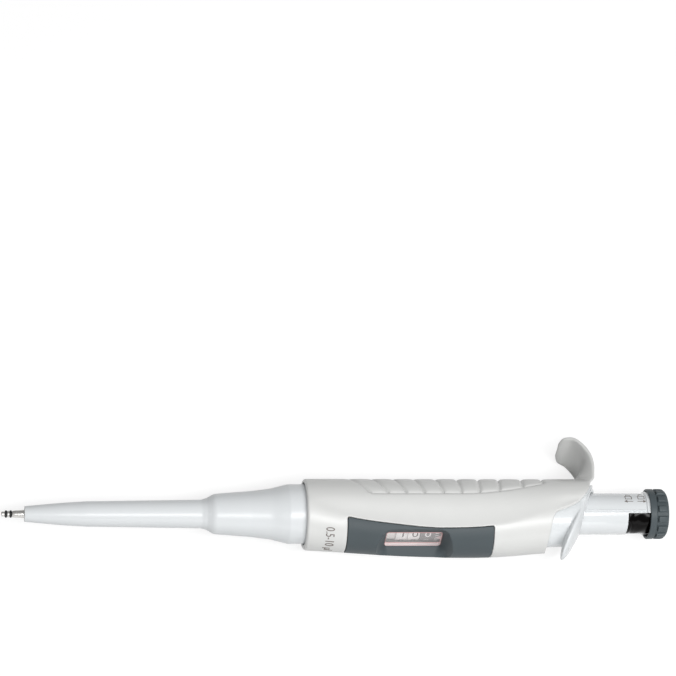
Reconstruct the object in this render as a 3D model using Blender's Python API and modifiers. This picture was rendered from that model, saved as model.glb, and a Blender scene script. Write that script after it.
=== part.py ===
"""An adjustable air-displacement micropipette for 0.5 to 10 microlitres, lying on a bench.

Lengths are in metres. The pipette is modelled along +X, from the nozzle's end at x = 0 to the
volume knob, with the finger hook at +Z and the display at -Z. One empty then rolls it on its side.
"""

from math import atan2, cos, pi, radians, sin

import bmesh
import bpy
from mathutils import Vector

PRODUCT = "micropipette"

# Clearances, and how far a cutter runs past what it cuts
GAP = 0.0003
FINE_GAP = 0.0001
PAST = 0.001

# Nozzle, its two O-rings and the metering cylinder behind it
NOZZLE_BARE = 0.0083
NOZZLE_END_R = 0.00093
NOZZLE_LAND_R = 0.00101
NOZZLE_BACK_R = 0.0015
NOZZLE_CHAMFER = 0.0001
NOZZLE_CONE_START = 0.0048
NOZZLE_BORE_R = 0.00025
NOZZLE_SPIGOT_R = 0.0022
NOZZLE_SPIGOT_LEN = 0.010
NOZZLE_INSIDE = 0.0125
CYLINDER_BORE_R = 0.0008
CYLINDER_START = 0.012
CYLINDER_CONE = 0.0006
O_RING_WIRE_R = 0.00033
O_RING_R = 0.0013
O_RING_PLACES = (0.0017, 0.0036)

# Housing: its round back, the flat it lies on, its wall and the bore at its lip
BACK_R = 0.0129
BACK_FLAT = radians(14)
HOUSING_WALL = 0.0016
LIP_ROUND = 0.0009
LIP_WALL = 0.0014
LIP_BORE_R = BACK_R - LIP_WALL
STATION_PITCH = 0.0075
HOLLOW_PITCH = 0.012

# Ejector sleeve: outside radius at a distance from its free end
SLEEVE_LEN = 0.1017
SLEEVE_WALL = 0.0010
SLEEVE_INSERT = 0.0040
SLEEVE_PROFILE = (
    (0.0000, 0.00275),
    (0.0129, 0.00385),
    (0.0223, 0.00440),
    (0.0642, 0.00505),
    (0.0661, 0.00570),
    (0.0687, 0.00715),
    (0.0818, 0.00825),
    (0.0895, 0.00920),
    (0.0929, 0.01020),
    (0.0959, LIP_BORE_R - 2 * GAP),
)

# Housing sections: distance from the lip, then crease half-width, crease height and front depth
# as shares of the back's radius
HOUSING_SECTIONS = (
    (0.000, 0.992, -0.279, 1.031),
    (0.015, 0.798, -0.628, 1.155),
    (0.036, 0.721, -0.868, 1.295),
    (0.051, 0.698, -0.953, 1.341),
    (0.071, 0.760, -0.884, 1.318),
    (0.088, 0.891, -0.543, 1.186),
    (0.097, 0.938, -0.233, 1.155),
    (0.110, 0.977, -0.093, 1.132),
)
FRONT_LEN = 0.0893
# Top rim above the front rim: height across the body as a share of the back's radius, and rise
# towards the knob
RIM_CORNER = -0.558
RIM_CURVE = (
    (-0.512, 0.0008),
    (-0.473, 0.00235),
    (-0.411, 0.0051),
    (-0.310, 0.0085),
    (-0.202, 0.0109),
    (-0.070, 0.0126),
    (0.217, 0.0149),
    (0.426, 0.0163),
    (0.698, 0.0173),
)

# Finger hook: rise from the front rim, height and half-width as shares of the back's radius,
# thickness, and how far its edges drop
HOOK_PATH = (
    (0.0087, 0.938, 0.760, 0.0010, 0.0050),
    (0.0139, 0.946, 0.806, 0.0013, 0.0058),
    (0.0178, 1.054, 0.791, 0.0018, 0.0042),
    (0.0209, 1.357, 0.744, 0.0020, 0.0015),
    (0.0219, 1.705, 0.713, 0.0020, -0.0008),
    (0.0205, 2.054, 0.682, 0.0020, -0.0016),
    (0.0161, 2.279, 0.574, 0.0018, -0.0014),
    (0.01275, 2.256, 0.411, 0.0016, -0.0009),
    (0.0111, 2.202, 0.233, 0.0012, -0.0004),
)

# Grip ribs on the back of the housing
RIB_GROOVES = 10
RIB_FIRST = 0.0178
RIB_PITCH = 0.00796
RIB_GROOVE_WIDTH = 0.0014
RIB_GROOVE_DEPTH = 0.0008
RIB_HALF_ANGLE = radians(86)
RIB_END_HALF_ANGLE = radians(58)
RIB_SLANT = 0.0050
RIB_RUNOUT = 0.4

# Barrel, its flange, the bulkhead it is clamped to and its nut
BARREL_SLEEVE_GAP = 0.0003
SEAL_BORE_R = 0.0046
SEAL_CHAMBER_START = 0.0790
SEAL_CHAMBER_LEN = 0.0170
PLUG_STEP = 0.0025
PISTON_CHANNEL_R = 0.0014
SPRING_BORE_R = 0.0068
NECK_R = 0.0080
FLANGE_R = BACK_R - HOUSING_WALL - GAP
FLANGE_LEN = 0.0030
BULKHEAD_LEN = 0.0020
NECK_LEN = 0.0060
BARREL_NUT_R = 0.0093
BARREL_NUT_LEN = 0.0034

# Seal stack in the barrel
SEAL_LEN = 0.0040
SEAL_RETAINER_LEN = 0.0030
SEAL_O_RING_WIRE_R = 0.0009
PLUG_LEN = 0.0025

# Piston, piston rod and their springs
PISTON_R = 0.0005
PISTON_BACK_LEN = 0.0020
ROD_R = 0.0022
SEAT_R = 0.0062
SEAT_LEN = 0.0020
STOP_RING_LEN = 0.0020
STOP_RING_R = 0.0065
STOP_RING_BORE_R = 0.0049
METERING_STROKE = 0.0127
BLOWOUT_STROKE = 0.0018
RETURN_SPRING_R = 0.0039
RETURN_WIRE_R = 0.0004
RETURN_TURNS = 8
BLOWOUT_SPRING_R = 0.0059
BLOWOUT_WIRE_R = 0.00045
BLOWOUT_TURNS = 4
BLOWOUT_SPRING_LEN = 0.0070
SEAL_SPRING_R = 0.0035
SEAL_SPRING_WIRE_R = 0.0004
SEAL_SPRING_TURNS = 4
COIL_POINTS = 10

# Display panel, its recess and its lens
PANEL_START = 0.0148
PANEL_LEN = 0.0538
PANEL_MARGIN = 0.00035
PANEL_CORNER = 0.0016
PANEL_CLEARANCE = 0.0002
PANEL_BEHIND = 0.0095
PANEL_BEYOND = 0.0200
LENS_START = 0.0147
LENS_LEN = 0.0208
LENS_HALF_WIDTH = 0.0042
LENS_FACE = 0.88 * BACK_R
LENS_THICK = 0.00145
LENS_CORNER = 0.0010
RECESS_WALL = 0.0011
RECESS_SIDE_SLOPE = 2.0
RECESS_TIP_SLOPE = 0.60
RECESS_KNOB_SLOPE = 0.60
RECESS_HEIGHT = 0.0075
RECESS_CORNER_GROWTH = 0.5

# Counter drums, named from the nozzle side, and their carrier
DRUM_R = LENS_FACE - LENS_THICK - 2 * GAP
DRUM_RIM = 0.0011
DRUM_WEB = 0.0012
DRUM_HUB_WALL = 0.0011
SPACER_LEN = 0.0040
DRUM_LEN = 0.0045
TENTHS_LEN = 0.0078
AXLE_R = 0.0040
AXLE_BORE_R = 0.0030
CARRIER_PLATE = 0.0015
CARRIER_BEARING_R = 0.0038
CARRIER_RAIL_OUT = BACK_R - HOUSING_WALL - 2 * GAP
CARRIER_RAIL_IN = CARRIER_RAIL_OUT - 0.0010
CARRIER_RAIL_HEIGHT = 0.0040
CARRIER_LUG_INSET = 0.0002

# Volume spindle, its travelling nut and the guide that keeps the nut from turning
SPINDLE_R = 0.0020
SPINDLE_HEX_R = 0.0025
SPINDLE_COLLAR_R = 0.0040
SPINDLE_COLLAR_LEN = 0.0015
GUIDE_R = 0.0061
GUIDE_WALL = 0.0011
GUIDE_LEN = 0.0215
GUIDE_FOOT = 0.0015
GUIDE_SLOT = 0.0018
NUT_LEN = 0.0045
NUT_TOP_ROOM = 0.0010
NUT_LUG = 0.0012
NUT_LUG_INSET = 0.0004
NUT_LUG_ROOT = 0.0008
GUIDE_SLOT_FLOOR = 0.0010

# Operating tube with its window, lock bush and volume knob
TUBE_R = 0.0077
TUBE_WALL = 0.0011
TUBE_BOTTOM = 0.0110
TUBE_TOP = 0.0424
TUBE_FLARE_R = 0.0082
TUBE_FLARE_LEN = 0.0024
TUBE_FLARE_LIP = 0.0008
TUBE_RIDGE_WIDTH = 0.0005
TUBE_RIDGE_HEIGHT = 0.0002
TUBE_RIDGE_START = 0.0010
TUBE_RIDGE_ANGLES = (0.030, 0.135)
WINDOW_HALF_ANGLE = radians(57.5)
WINDOW_LEN = 0.0113
CORE_LEN = 0.0030
BUSH_TAIL = 0.0030
BUSH_PAD_DROP = 0.00035
BUSH_PAD_ROOT = 0.0005
BUSH_PAD_PLAY = radians(2.5)
LOCK_TRAVEL = 0.0015
KNOB_R = 0.0093
KNOB_LEN = 0.0066
KNOB_WALL = 0.0008
KNOB_END_THICK = 0.0034
KNOB_LIP_LEN = 0.0026
KNOB_PADS = 14
KNOB_PAD_SHARE = 0.63
KNOB_GROOVE = 0.0005
KNOB_GROOVE_RAMP = 0.06
KNOB_ROUND = 0.0009
KNOB_CHAMFER = 0.0004
KNOB_STEM_R = 0.0042
KNOB_STEM_OVERLAP = 0.0040
SPINDLE_UNDER_WINDOW = 0.0060

# Ejector plate, collar, spring and push rod
PLATE_HALF_WIDTH = 0.0100
PLATE_HALF_LEN = 0.0162
PLATE_THICK = 0.0031
PLATE_TILT = radians(27)
PLATE_OFFSET = -0.0048
PLATE_RISE = 0.0124
COLLAR_CLEARANCE = 0.0006
COLLAR_WALL = 0.0012
COLLAR_DROP = 0.0060
EJECT_TRAVEL = 0.0050
ROD_HALF_WIDTH = 0.0024
ROD_THICK = 0.0010
COUPLER_LEN = 0.0017
COUPLER_WALL = 0.0016
COUPLER_BORE_R = LIP_BORE_R - 2 * GAP - COUPLER_WALL
EJECTOR_SPRING_R = 0.0089
EJECTOR_WIRE_R = 0.0004
EJECTOR_SPRING_TURNS = 3
UPPER_GUIDE_LEN = 0.0020

# How the pipette lies on the bench, rolled about its own axis
BENCH_ROLL = BACK_FLAT / 2

# Places along the axis that follow from the sizes above
SLEEVE_TIP = NOZZLE_BARE
LIP = SLEEVE_TIP + SLEEVE_LEN
FRONT_RIM = LIP + FRONT_LEN
HOUSING_END = LIP + HOUSING_SECTIONS[-1][0]
SLEEVE_TOP = LIP + SLEEVE_INSERT
FLANGE_START = SLEEVE_TOP + GAP + COUPLER_LEN + 3 * GAP
BULKHEAD = FLANGE_START + FLANGE_LEN + GAP
NECK_TOP = BULKHEAD + BULKHEAD_LEN + NECK_LEN
PLUG_START = SEAL_CHAMBER_START + SEAL_CHAMBER_LEN + PLUG_STEP
SPRING_FLOOR = PLUG_START + PLUG_LEN + GAP
STOP_RING_START = SPRING_FLOOR + BLOWOUT_SPRING_LEN + GAP
SEAT_START = STOP_RING_START + STOP_RING_LEN + METERING_STROKE + GAP
FULL_STROKE = METERING_STROKE + BLOWOUT_STROKE
SEAT_END = SEAT_START + SEAT_LEN
PANEL_X = LIP + PANEL_START
LENS_X = PANEL_X + LENS_START
SPACER_X = LENS_X
TENS_X = SPACER_X + SPACER_LEN
UNITS_X = TENS_X + DRUM_LEN
TENTHS_X = UNITS_X + DRUM_LEN
TENTHS_END = TENTHS_X + TENTHS_LEN
CARRIER_LOW = SPACER_X - GAP - CARRIER_PLATE
CARRIER_HIGH = TENTHS_END + GAP
GUIDE_X = CARRIER_HIGH + CARRIER_PLATE + GAP
GUIDE_TOP = GUIDE_X + GUIDE_LEN
TUBE_X = FRONT_RIM - TUBE_BOTTOM
TUBE_END = FRONT_RIM + TUBE_TOP
CORE_X = GUIDE_TOP + FULL_STROKE + 2 * GAP
COLLAR_X = CORE_X + CORE_LEN + GAP
WINDOW_X = TUBE_END - WINDOW_LEN
KNOB_FLOOR = TUBE_END + 2 * GAP
KNOB_END = KNOB_FLOOR + KNOB_END_THICK
KNOB_RIM = KNOB_END - KNOB_LEN
SPINDLE_LOW = SEAT_END + GAP
SPINDLE_HIGH = WINDOW_X - SPINDLE_UNDER_WINDOW
PLATE_X = FRONT_RIM + PLATE_RISE
COLLAR_BOTTOM = FRONT_RIM - COLLAR_DROP
CLOSED_SPRING = (EJECTOR_SPRING_TURNS + 1) * 2 * EJECTOR_WIRE_R + 2 * GAP
UPPER_GUIDE_X = COLLAR_BOTTOM - EJECT_TRAVEL - CLOSED_SPRING - UPPER_GUIDE_LEN
SEAL_SPRING_X = (
    SEAL_CHAMBER_START + GAP + SEAL_LEN + 2 * (FINE_GAP + SEAL_O_RING_WIRE_R) + SEAL_RETAINER_LEN
)

# Rings round the axis
RING = 24
SMALL_RING = 16


def new_material(name, colour, roughness, metallic=0.0, clear=0.0):
    """A Principled material with one colour."""
    material = bpy.data.materials.new(name)
    material.use_nodes = True
    shader = material.node_tree.nodes["Principled BSDF"]
    shader.inputs["Base Color"].default_value = (*colour, 1.0)
    shader.inputs["Roughness"].default_value = roughness
    shader.inputs["Metallic"].default_value = metallic
    shader.inputs["Transmission Weight"].default_value = clear
    return material


COLOURS = {
    "shell": ((0.77, 0.76, 0.72), 0.45),
    "white": ((0.74, 0.78, 0.80), 0.30),
    "slate": ((0.10, 0.135, 0.145), 0.45),
    "black": ((0.01, 0.01, 0.012), 0.15),
    "drum_white": ((0.80, 0.79, 0.76), 0.5),
    "drum_dark": ((0.08, 0.08, 0.09), 0.5),
    "steel": ((0.62, 0.62, 0.62), 0.25, 1.0),
    "brass": ((0.75, 0.55, 0.25), 0.3, 1.0),
    "rubber": ((0.02, 0.02, 0.02), 0.8),
    "seal": ((0.85, 0.85, 0.83), 0.5),
    "lens": ((0.95, 0.93, 0.93), 0.05, 0.0, 1.0),
    "frame": ((0.45, 0.46, 0.47), 0.5),
}


def clear_scene():
    """Remove the objects that a new file starts with."""
    for item in list(bpy.data.objects):
        bpy.data.objects.remove(item, do_unlink=True)


def make_collection(name):
    """A collection in the scene."""
    group = bpy.data.collections.new(name)
    bpy.context.scene.collection.children.link(group)
    return group


clear_scene()
PARTS = make_collection(PRODUCT)
CUTTERS = make_collection("cutters")
REST = bpy.data.objects.new("bench_rest", None)
PARTS.objects.link(REST)


def place(name, mesh, finish=None):
    """Put a mesh in the scene: a part with its finish, or a hidden cutter without one."""
    item = bpy.data.objects.new(name, mesh)
    item.parent = REST
    if finish is None:
        CUTTERS.objects.link(item)
        item.display_type = "WIRE"
        item.hide_render = True
    else:
        PARTS.objects.link(item)
        mesh.materials.append(new_material(name, *COLOURS[finish]))
    return item


def to_mesh(name, shape, smooth=35):
    """Turn a bmesh into a mesh with smooth round faces and sharp corners."""
    mesh = bpy.data.meshes.new(name)
    shape.to_mesh(mesh)
    shape.free()
    mesh.shade_smooth()
    mesh.set_sharp_from_angle(angle=radians(smooth))
    return mesh


def turned(name, outline, finish=None, steps=RING):
    """Spin an outline of (x, radius) points round the X axis.

    The outline runs along the outer side towards the nozzle and back along the inner side. With
    its ends on the axis it is solid; otherwise it is joined up and leaves a bore.
    """
    mesh = bpy.data.meshes.new(name)
    points = [(x, radius, 0.0) for x, radius in outline]
    edges = [(i, i + 1) for i in range(len(points) - 1)]
    if outline[0][1] > 0.0:
        edges.append((len(points) - 1, 0))
    mesh.from_pydata(points, edges, [])
    item = place(name, mesh, finish)
    spin = item.modifiers.new("turn", "SCREW")
    spin.axis = "X"
    spin.angle = 2 * pi
    spin.screw_offset = 0.0
    spin.steps = steps
    spin.render_steps = steps
    spin.use_merge_vertices = True
    spin.merge_threshold = 0.00001
    spin.use_smooth_shade = True
    return item


def tube_outline(start, end, outer, inner):
    """The outline of a plain tube between two places on the axis."""
    return [(end, outer), (start, outer), (start, inner), (end, inner)]


def rod_outline(start, end, radius):
    """The outline of a plain round rod between two places on the axis."""
    return [(end, 0.0), (end, radius), (start, radius), (start, 0.0)]


def skin(rings, joined=False):
    """Faces between rings of points: with end caps, or joined end to end into a ring."""
    shape = bmesh.new()
    rows = [[shape.verts.new(point) for point in ring] for ring in rings]
    count = len(rows[0])
    pairs = list(zip(rows, rows[1:]))
    if joined:
        pairs.append((rows[-1], rows[0]))
    for low, high in pairs:
        for i in range(count):
            j = (i + 1) % count
            shape.faces.new((low[i], low[j], high[j], high[i]))
    if not joined:
        shape.faces.new(list(reversed(rows[0])))
        shape.faces.new(rows[-1])
    bmesh.ops.recalc_face_normals(shape, faces=shape.faces)
    return shape


def lofted(name, rings, finish=None, joined=False, smooth=35):
    """A loft through rings of points."""
    return place(name, to_mesh(name, skin(rings, joined), smooth), finish)


def box(name, low, high, finish=None):
    """A box between two corners."""
    shape = bmesh.new()
    bmesh.ops.create_cube(shape, size=1.0)
    low, high = Vector(low), Vector(high)
    size = high - low
    bmesh.ops.scale(shape, vec=size, verts=shape.verts)
    bmesh.ops.translate(shape, vec=(low + high) / 2, verts=shape.verts)
    return place(name, to_mesh(name, shape), finish)


def prism(name, outline, axis, low, high, finish=None):
    """A flat outline of pairs, pushed along one axis: "y" for (x, z) pairs, "z" for (x, y)."""

    def at(pair, level):
        if axis == "y":
            return (pair[0], level, pair[1])
        return (pair[0], pair[1], level)

    rings = [[at(pair, level) for pair in outline] for level in (low, high)]
    return lofted(name, rings, finish)


def rounded_rectangle(x0, x1, half_width, corner, steps=4):
    """Points round a rectangle with round corners, centred on y = 0."""
    centres = (
        (x1 - corner, half_width - corner, 0.0),
        (x0 + corner, half_width - corner, pi / 2),
        (x0 + corner, corner - half_width, pi),
        (x1 - corner, corner - half_width, 3 * pi / 2),
    )
    points = []
    for x, y, start in centres:
        for i in range(steps + 1):
            angle = start + pi / 2 * i / steps
            points.append((x + corner * cos(angle), y + corner * sin(angle)))
    return points


def combine(item, tool, operation, solver="EXACT"):
    """Cut, join or intersect a piece with a tool."""
    step = item.modifiers.new(operation.lower(), "BOOLEAN")
    step.operation = operation
    step.object = tool
    step.solver = solver


def cut(item, *tools, solver="EXACT"):
    """Cut tools out of a piece."""
    for tool in tools:
        combine(item, tool, "DIFFERENCE", solver)


def join(item, *tools, solver="EXACT"):
    """Join tools to a piece."""
    for tool in tools:
        combine(item, tool, "UNION", solver)


def curve_through(rows, steps):
    """Rows of numbers read at even steps along a smooth curve through them."""
    ends = [[2 * a - b for a, b in zip(rows[0], rows[1])]]
    tail = [[2 * a - b for a, b in zip(rows[-1], rows[-2])]]
    padded = ends + [list(row) for row in rows] + tail
    result = []
    for i in range(1, len(padded) - 2):
        for step in range(steps):
            t = step / steps
            result.append(
                [
                    0.5 * (2 * b + (c - a) * t + (2 * a - 5 * b + 4 * c - d) * t * t
                           + (3 * b - a - 3 * c + d) * t ** 3)
                    for a, b, c, d in zip(*padded[i - 1:i + 3])
                ]
            )
    result.append(list(rows[-1]))
    return result


def between(rows, x):
    """The other numbers of a table at x, on a smooth curve through its rows."""
    if x <= rows[0][0]:
        return rows[0][1:]
    if x >= rows[-1][0]:
        return rows[-1][1:]
    i = max(k for k in range(len(rows) - 1) if rows[k][0] <= x)
    before, start, end = rows[max(i - 1, 0)], rows[i], rows[i + 1]
    after = rows[min(i + 2, len(rows) - 1)]
    span = end[0] - start[0]
    t = (x - start[0]) / span
    result = []
    for k in range(1, len(start)):
        slope0 = (end[k] - before[k]) / (end[0] - before[0])
        slope1 = (after[k] - start[k]) / (after[0] - start[0])
        result.append(
            (1 + 2 * t) * (1 - t) ** 2 * start[k] + t * (1 - t) ** 2 * span * slope0
            + t * t * (3 - 2 * t) * end[k] + t * t * (t - 1) * span * slope1
        )
    return result


def crease_at(x):
    """Half-width and height of the housing's crease, and its front depth, at a place."""
    return [BACK_R * share for share in between(HOUSING_SECTIONS, x - LIP)]


def housing_ring(x, inset=0.0, front=6, side=6, back=8):
    """One section of the housing: front arc, scooped side and round back, moved in by inset."""
    half, height, depth = crease_at(x)
    rise = depth + height
    arc_r = (half * half + rise * rise) / (2 * rise)
    sweep = atan2(half, arc_r - rise)
    points = [
        (arc_r * sin(sweep * i / front), arc_r - depth - arc_r * cos(sweep * i / front))
        for i in range(front)
    ]
    reach = -height
    anchors = (
        (half, height),
        (half + 0.10 * reach, height + 0.45 * reach),
        (BACK_R, height + 0.62 * reach),
        (BACK_R, 0.0),
    )
    for i in range(side):
        t = i / side
        weights = ((1 - t) ** 3, 3 * t * (1 - t) ** 2, 3 * t * t * (1 - t), t ** 3)
        points.append(
            tuple(sum(w * anchor[k] for w, anchor in zip(weights, anchors)) for k in (0, 1))
        )
    turns = [0.0] + [BACK_FLAT + (pi / 2 - BACK_FLAT) * i / back for i in range(back + 1)]
    points += [(BACK_R * cos(turn), BACK_R * sin(turn)) for turn in turns]
    ring = points + [(-y, z) for y, z in reversed(points[1:-1])]
    return [(x, y, z) for y, z in moved_in(ring, inset)]


def moved_in(ring, inset):
    """A closed outline of pairs moved towards its inside by a distance."""
    if inset == 0.0:
        return ring
    result = []
    count = len(ring)
    for i in range(count):
        before = Vector(ring[i - 1])
        here = Vector(ring[i])
        after = Vector(ring[(i + 1) % count])
        first = (here - before).normalized()
        second = (after - here).normalized()
        first_in = Vector((-first.y, first.x))
        second_in = Vector((-second.y, second.x))
        inward = (first_in + second_in).normalized()
        stretch = inset / max(inward.dot(first_in), 0.5)
        result.append(tuple(here + inward * stretch))
    return result


def housing_stations(start, end, pitch=STATION_PITCH):
    """Evenly spaced places along the housing."""
    count = max(2, round((end - start) / pitch))
    return [start + (end - start) * i / count for i in range(count + 1)]


def rod_slot(name, start, end, clearance=GAP):
    """A cutter round the ejector's push rod."""
    low = (start, -ROD_HALF_WIDTH - clearance, rod_low() - clearance)
    high = (end, ROD_HALF_WIDTH + clearance, BACK_R - HOUSING_WALL + clearance)
    return box(name, low, high)


def rod_low():
    """The push rod's side that faces the axis."""
    return DRUM_R + GAP + FINE_GAP / 2


def make_coil(name, start, end, coil_r, wire_r, turns, finish="steel"):
    """A compression spring with closed ends, as one tube of wire."""
    low = start + wire_r + FINE_GAP
    high = end - wire_r - FINE_GAP
    closed = 0.6 * 2 * wire_r
    steps = turns * COIL_POINTS
    spline_points = []
    for i in range(steps + 1):
        turn = i / COIL_POINTS
        if turn <= 1.0:
            x = low + closed * turn
        elif turn >= turns - 1:
            x = high - closed * (turns - turn)
        else:
            x = low + closed + (high - low - 2 * closed) * (turn - 1) / (turns - 2)
        angle = 2 * pi * turn
        spline_points.append((x, coil_r * cos(angle), coil_r * sin(angle), 1.0))
    curve = bpy.data.curves.new(name, "CURVE")
    curve.dimensions = "3D"
    curve.bevel_depth = wire_r
    curve.bevel_resolution = 1
    curve.use_fill_caps = True
    spline = curve.splines.new("POLY")
    spline.points.add(len(spline_points) - 1)
    for point, where in zip(spline.points, spline_points):
        point.co = where
    item = bpy.data.objects.new(name, curve)
    item.parent = REST
    PARTS.objects.link(item)
    curve.materials.append(new_material(name, *COLOURS[finish]))
    return item


def make_o_ring(name, x, outer, wire_r, finish="rubber"):
    """An O-ring lying across the axis at x."""
    sides = 6
    middle = outer - wire_r
    outline = [
        (x - wire_r * sin(2 * pi * i / sides), middle + wire_r * cos(2 * pi * i / sides))
        for i in range(sides)
    ]
    return turned(name, outline, finish, SMALL_RING)


def make_nozzle():
    """Steel nozzle that the tip goes on, with grooves for two O-rings and the cylinder bore."""
    groove_r = O_RING_R - 2 * O_RING_WIRE_R - FINE_GAP
    half_groove = O_RING_WIRE_R + FINE_GAP
    profile = [(0.0, NOZZLE_END_R - NOZZLE_CHAMFER), (2 * NOZZLE_CHAMFER, NOZZLE_END_R)]
    for place_x, radius in zip(O_RING_PLACES, (NOZZLE_END_R, NOZZLE_LAND_R)):
        profile += [
            (place_x - half_groove, radius),
            (place_x - half_groove, groove_r),
            (place_x + half_groove, groove_r),
            (place_x + half_groove, NOZZLE_LAND_R),
        ]
    spigot = SLEEVE_TIP + NOZZLE_INSIDE
    end = spigot + NOZZLE_SPIGOT_LEN
    profile += [
        (NOZZLE_CONE_START, O_RING_R),
        (SLEEVE_TIP, NOZZLE_BACK_R),
        (spigot, NOZZLE_BACK_R),
        (spigot, NOZZLE_SPIGOT_R),
        (end, NOZZLE_SPIGOT_R),
    ]
    inner = [
        (end, CYLINDER_BORE_R),
        (CYLINDER_START, CYLINDER_BORE_R),
        (CYLINDER_START - CYLINDER_CONE, NOZZLE_BORE_R),
        (0.0, NOZZLE_BORE_R),
    ]
    turned("nozzle", list(reversed(profile + inner)), "steel", SMALL_RING)
    for number, place_x in enumerate(O_RING_PLACES, 1):
        make_o_ring(f"nozzle_o_ring_{number}", place_x, O_RING_R, O_RING_WIRE_R)


def sleeve_inside(distance):
    """The sleeve's inside radius at a distance from its free end."""
    rows = [(x, radius - SLEEVE_WALL) for x, radius in SLEEVE_PROFILE]
    for (x0, r0), (x1, r1) in zip(rows, rows[1:]):
        if distance <= x1:
            return r0 + (r1 - r0) * (distance - x0) / (x1 - x0)
    return rows[-1][1]


def make_sleeve():
    """Ejector sleeve round the nozzle and barrel."""
    outer = [(SLEEVE_TIP + x, radius) for x, radius in SLEEVE_PROFILE]
    outer.append((SLEEVE_TOP, SLEEVE_PROFILE[-1][1]))
    bends = (SLEEVE_TIP + SLEEVE_PROFILE[1][0], SLEEVE_TIP + SLEEVE_PROFILE[-2][0])
    inner = [(x, radius - SLEEVE_WALL) for x, radius in outer if x not in bends]
    turned("ejector_sleeve", list(reversed(outer)) + inner, "white")


def make_barrel():
    """Lower barrel: holds the nozzle, the seals and the springs, and is clamped by its flange."""
    start = SLEEVE_TIP + NOZZLE_INSIDE
    nozzle_hole_end = start + NOZZLE_SPIGOT_LEN + GAP
    outer = [(start, sleeve_inside(NOZZLE_INSIDE) - BARREL_SLEEVE_GAP)]
    for distance, radius in SLEEVE_PROFILE[3:-2]:
        outer.append((SLEEVE_TIP + distance, radius - SLEEVE_WALL - BARREL_SLEEVE_GAP))
    outer.append((SLEEVE_TIP + SLEEVE_PROFILE[-2][0], COUPLER_BORE_R - GAP))
    outer += [
        (FLANGE_START, COUPLER_BORE_R - GAP),
        (FLANGE_START, FLANGE_R),
        (FLANGE_START + FLANGE_LEN, FLANGE_R),
        (FLANGE_START + FLANGE_LEN, NECK_R),
        (NECK_TOP, NECK_R),
    ]
    inner = [
        (NECK_TOP, SPRING_BORE_R),
        (PLUG_START - GAP, SPRING_BORE_R),
        (PLUG_START - GAP, SEAL_BORE_R),
        (SEAL_CHAMBER_START, SEAL_BORE_R),
        (SEAL_CHAMBER_START, PISTON_CHANNEL_R),
        (nozzle_hole_end, PISTON_CHANNEL_R),
        (nozzle_hole_end, NOZZLE_SPIGOT_R + FINE_GAP),
        (start, NOZZLE_SPIGOT_R + FINE_GAP),
    ]
    barrel = turned("lower_barrel", list(reversed(outer + inner)), "frame")
    cut(barrel, rod_slot("flange_slot", FLANGE_START - GAP, FLANGE_START + FLANGE_LEN + GAP))
    nut_start = BULKHEAD + BULKHEAD_LEN + GAP
    turned(
        "barrel_nut",
        tube_outline(nut_start, nut_start + BARREL_NUT_LEN, BARREL_NUT_R, NECK_R + FINE_GAP),
        "brass",
    )


def make_seals():
    """Seal, O-ring, retainer, spring and plug, stacked in the barrel's chamber."""
    x = SEAL_CHAMBER_START + GAP
    bore = PISTON_R + GAP
    outer = SEAL_BORE_R - FINE_GAP
    turned("piston_seal", tube_outline(x, x + SEAL_LEN, outer, bore), "seal", SMALL_RING)
    x += SEAL_LEN + FINE_GAP + SEAL_O_RING_WIRE_R
    make_o_ring("seal_o_ring", x, outer, SEAL_O_RING_WIRE_R)
    x += SEAL_O_RING_WIRE_R + FINE_GAP
    turned(
        "seal_retainer",
        tube_outline(x, x + SEAL_RETAINER_LEN, outer, bore),
        "steel",
        SMALL_RING,
    )
    make_coil(
        "seal_spring", SEAL_SPRING_X, PLUG_START, SEAL_SPRING_R, SEAL_SPRING_WIRE_R, SEAL_SPRING_TURNS
    )
    turned(
        "seal_plug",
        tube_outline(PLUG_START, PLUG_START + PLUG_LEN, SPRING_BORE_R - FINE_GAP, ROD_R + GAP),
        "brass",
    )


def make_plunger():
    """Piston wire, piston rod with its spring seat, and the two springs and stop ring."""
    rod_start = SEAL_SPRING_X + FULL_STROKE + GAP
    piston_end = rod_start - FINE_GAP
    piston_tip = CYLINDER_START + FULL_STROKE + PISTON_BACK_LEN
    turned(
        "piston",
        rod_outline(piston_tip, piston_end, PISTON_R),
        "steel",
        SMALL_RING,
    )
    turned("piston_rod", rod_outline(rod_start, SEAT_START, ROD_R), "steel", SMALL_RING)
    turned(
        "spring_seat", rod_outline(SEAT_START + FINE_GAP, SEAT_END, SEAT_R), "frame", SMALL_RING
    )
    make_coil(
        "return_spring",
        SPRING_FLOOR,
        SEAT_START,
        RETURN_SPRING_R,
        RETURN_WIRE_R,
        RETURN_TURNS,
    )
    make_coil(
        "blowout_spring",
        SPRING_FLOOR,
        STOP_RING_START,
        BLOWOUT_SPRING_R,
        BLOWOUT_WIRE_R,
        BLOWOUT_TURNS,
    )
    turned(
        "stop_ring",
        tube_outline(
            STOP_RING_START, STOP_RING_START + STOP_RING_LEN, STOP_RING_R, STOP_RING_BORE_R
        ),
        "brass",
    )


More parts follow.
